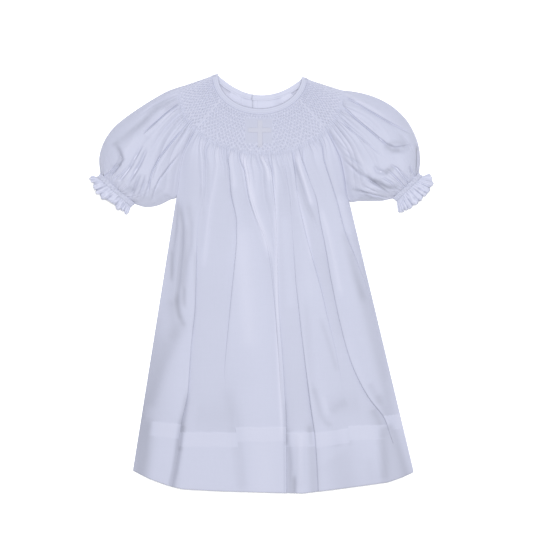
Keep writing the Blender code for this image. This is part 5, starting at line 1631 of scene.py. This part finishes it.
def make_button(node, y):
    """A sewn shirt button with a raised rim, face down; its four thread holes are dark beads, painted
    shade.
    """
    turn = turns(48)
    radius, level = BUTTON_PROFILE[:, 0:1] + 1e-3, BUTTON_PROFILE[:, 1:2] + 0.0 * turn
    sheet = Sheet()
    sheet.quads(sheet.grid(radius * np.cos(turn), y + radius * np.sin(turn), level), closed=True)
    sheet.build("shirt_" + node, button_plastic, [node])
    # The holes are not cut: dark beads paint their shade.
    holes = Sheet()
    around = [(sx * BUTTON_HOLE, y + sy * BUTTON_HOLE, 0.5) for sx in (-1, 1) for sy in (-1, 1)]
    beads(holes, around, [(1.0, 0.0, 0.0)] * 4, [UP] * 4, BUTTON_HOLE, BUTTON_HOLE, 0.24)
    holes.build("holes_" + node, hole_shade, slot=node)
    stitches = Sheet()
    beads(stitches, [(0.0, y, 0.38), (0.0, y, 0.34)], [(1.0, 1.0, 0.0), (1.0, -1.0, 0.0)],
          [UP] * 2, 2.5, 0.4, 0.3)
    stitches.build("stitch_" + node, thread, slot=node)


button_plastic = plain_material("button_plastic", (0.78, 0.78, 0.82), 0.25)
hole_shade = plain_material("hole_shade", (0.12, 0.12, 0.14), 0.9)
front, yoke_points = make_front()
sleeves = [make_sleeve(arm) for arm in ARMS]
cross = make_cross(yoke_points)
binding = make_binding()
cuffs = [make_cuff(arm) for arm in ARMS]
ruffles = [make_ruffle(arm) for arm in ARMS]
back = make_back()
over_level = UPPER_FLOOR + LAP_THICKNESS + GAP
laps = (
    make_lap("lap_under", -24.0, 14.0, UPPER_FLOOR, (-12.0, -23.0, 1.3), "placket_under"),
    make_lap("lap_over", OVERLAP_EDGE, 27.0, over_level, (12.0, 26.0, 2.6), "placket_over"),
)
for node, y in BUTTONS:
    make_button(node, y)

# ---- floor, light, camera


FLOOR_HALF = 6.0
FLOOR_LEVEL = -0.0004


def make_floor():
    mesh = bpy.data.meshes.new("floor")
    mesh.from_pydata([(x * FLOOR_HALF, y * FLOOR_HALF, FLOOR_LEVEL)
                      for x, y in ((-1, -1), (1, -1), (1, 1), (-1, 1))], [], [(0, 1, 2, 3)])
    paper = plain_material("floor", (0.96, 0.96, 0.96), 0.9)
    glow = paper.node_tree.nodes["Principled BSDF"].inputs
    glow["Emission Color"].default_value = (1.0, 1.0, 1.0, 1.0)
    glow["Emission Strength"].default_value = 0.25
    mesh.materials.append(paper)
    floor = add_object("floor", mesh)


def area_light(name, place, target, size, power):
    light = bpy.data.lights.new(name, "AREA")
    light.shape = "DISK"
    light.size = size
    light.energy = power
    lamp = add_object(name, light)
    lamp.location = place
    lamp.rotation_euler = (Vector(target) - Vector(place)).to_track_quat("-Z", "Y").to_euler()


make_floor()
area_light("key", place=(0.12, 0.36, 2.62), target=(0, 0, 0), size=0.8, power=57.0)

# Studio light from all round: white above, darker towards the floor.
world = bpy.data.worlds.new("studio")
world.use_nodes = True
nodes, links = world.node_tree.nodes, world.node_tree.links
way = nodes.new("ShaderNodeTexCoord")
parts = nodes.new("ShaderNodeSeparateXYZ")
ramp = nodes.new("ShaderNodeValToRGB")
ramp.color_ramp.elements[0].color = (0.25, 0.26, 0.28, 1.0)
ramp.color_ramp.elements[1].color = (1.0, 1.0, 1.0, 1.0)
links.new(way.outputs["Generated"], parts.inputs["Vector"])
links.new(parts.outputs["Z"], ramp.inputs["Fac"])
links.new(ramp.outputs["Color"], nodes["Background"].inputs["Color"])
nodes["Background"].inputs["Strength"].default_value = 0.74
bpy.context.scene.world = world
bpy.context.scene.view_settings.view_transform = "Standard"

# The camera looks straight down; what it sees is VIEW_WIDTH wide on the floor.
VIEW_CENTRE = (0.0066, 0.0192)
VIEW_WIDTH = 0.6396
lens = bpy.data.cameras.new("camera")
lens.lens = 200.0
lens.sensor_width = 36.0
lens.clip_end = 50.0
camera = add_object("camera", lens)
camera.location = (*VIEW_CENTRE, VIEW_WIDTH * lens.lens / lens.sensor_width)
bpy.context.scene.camera = camera
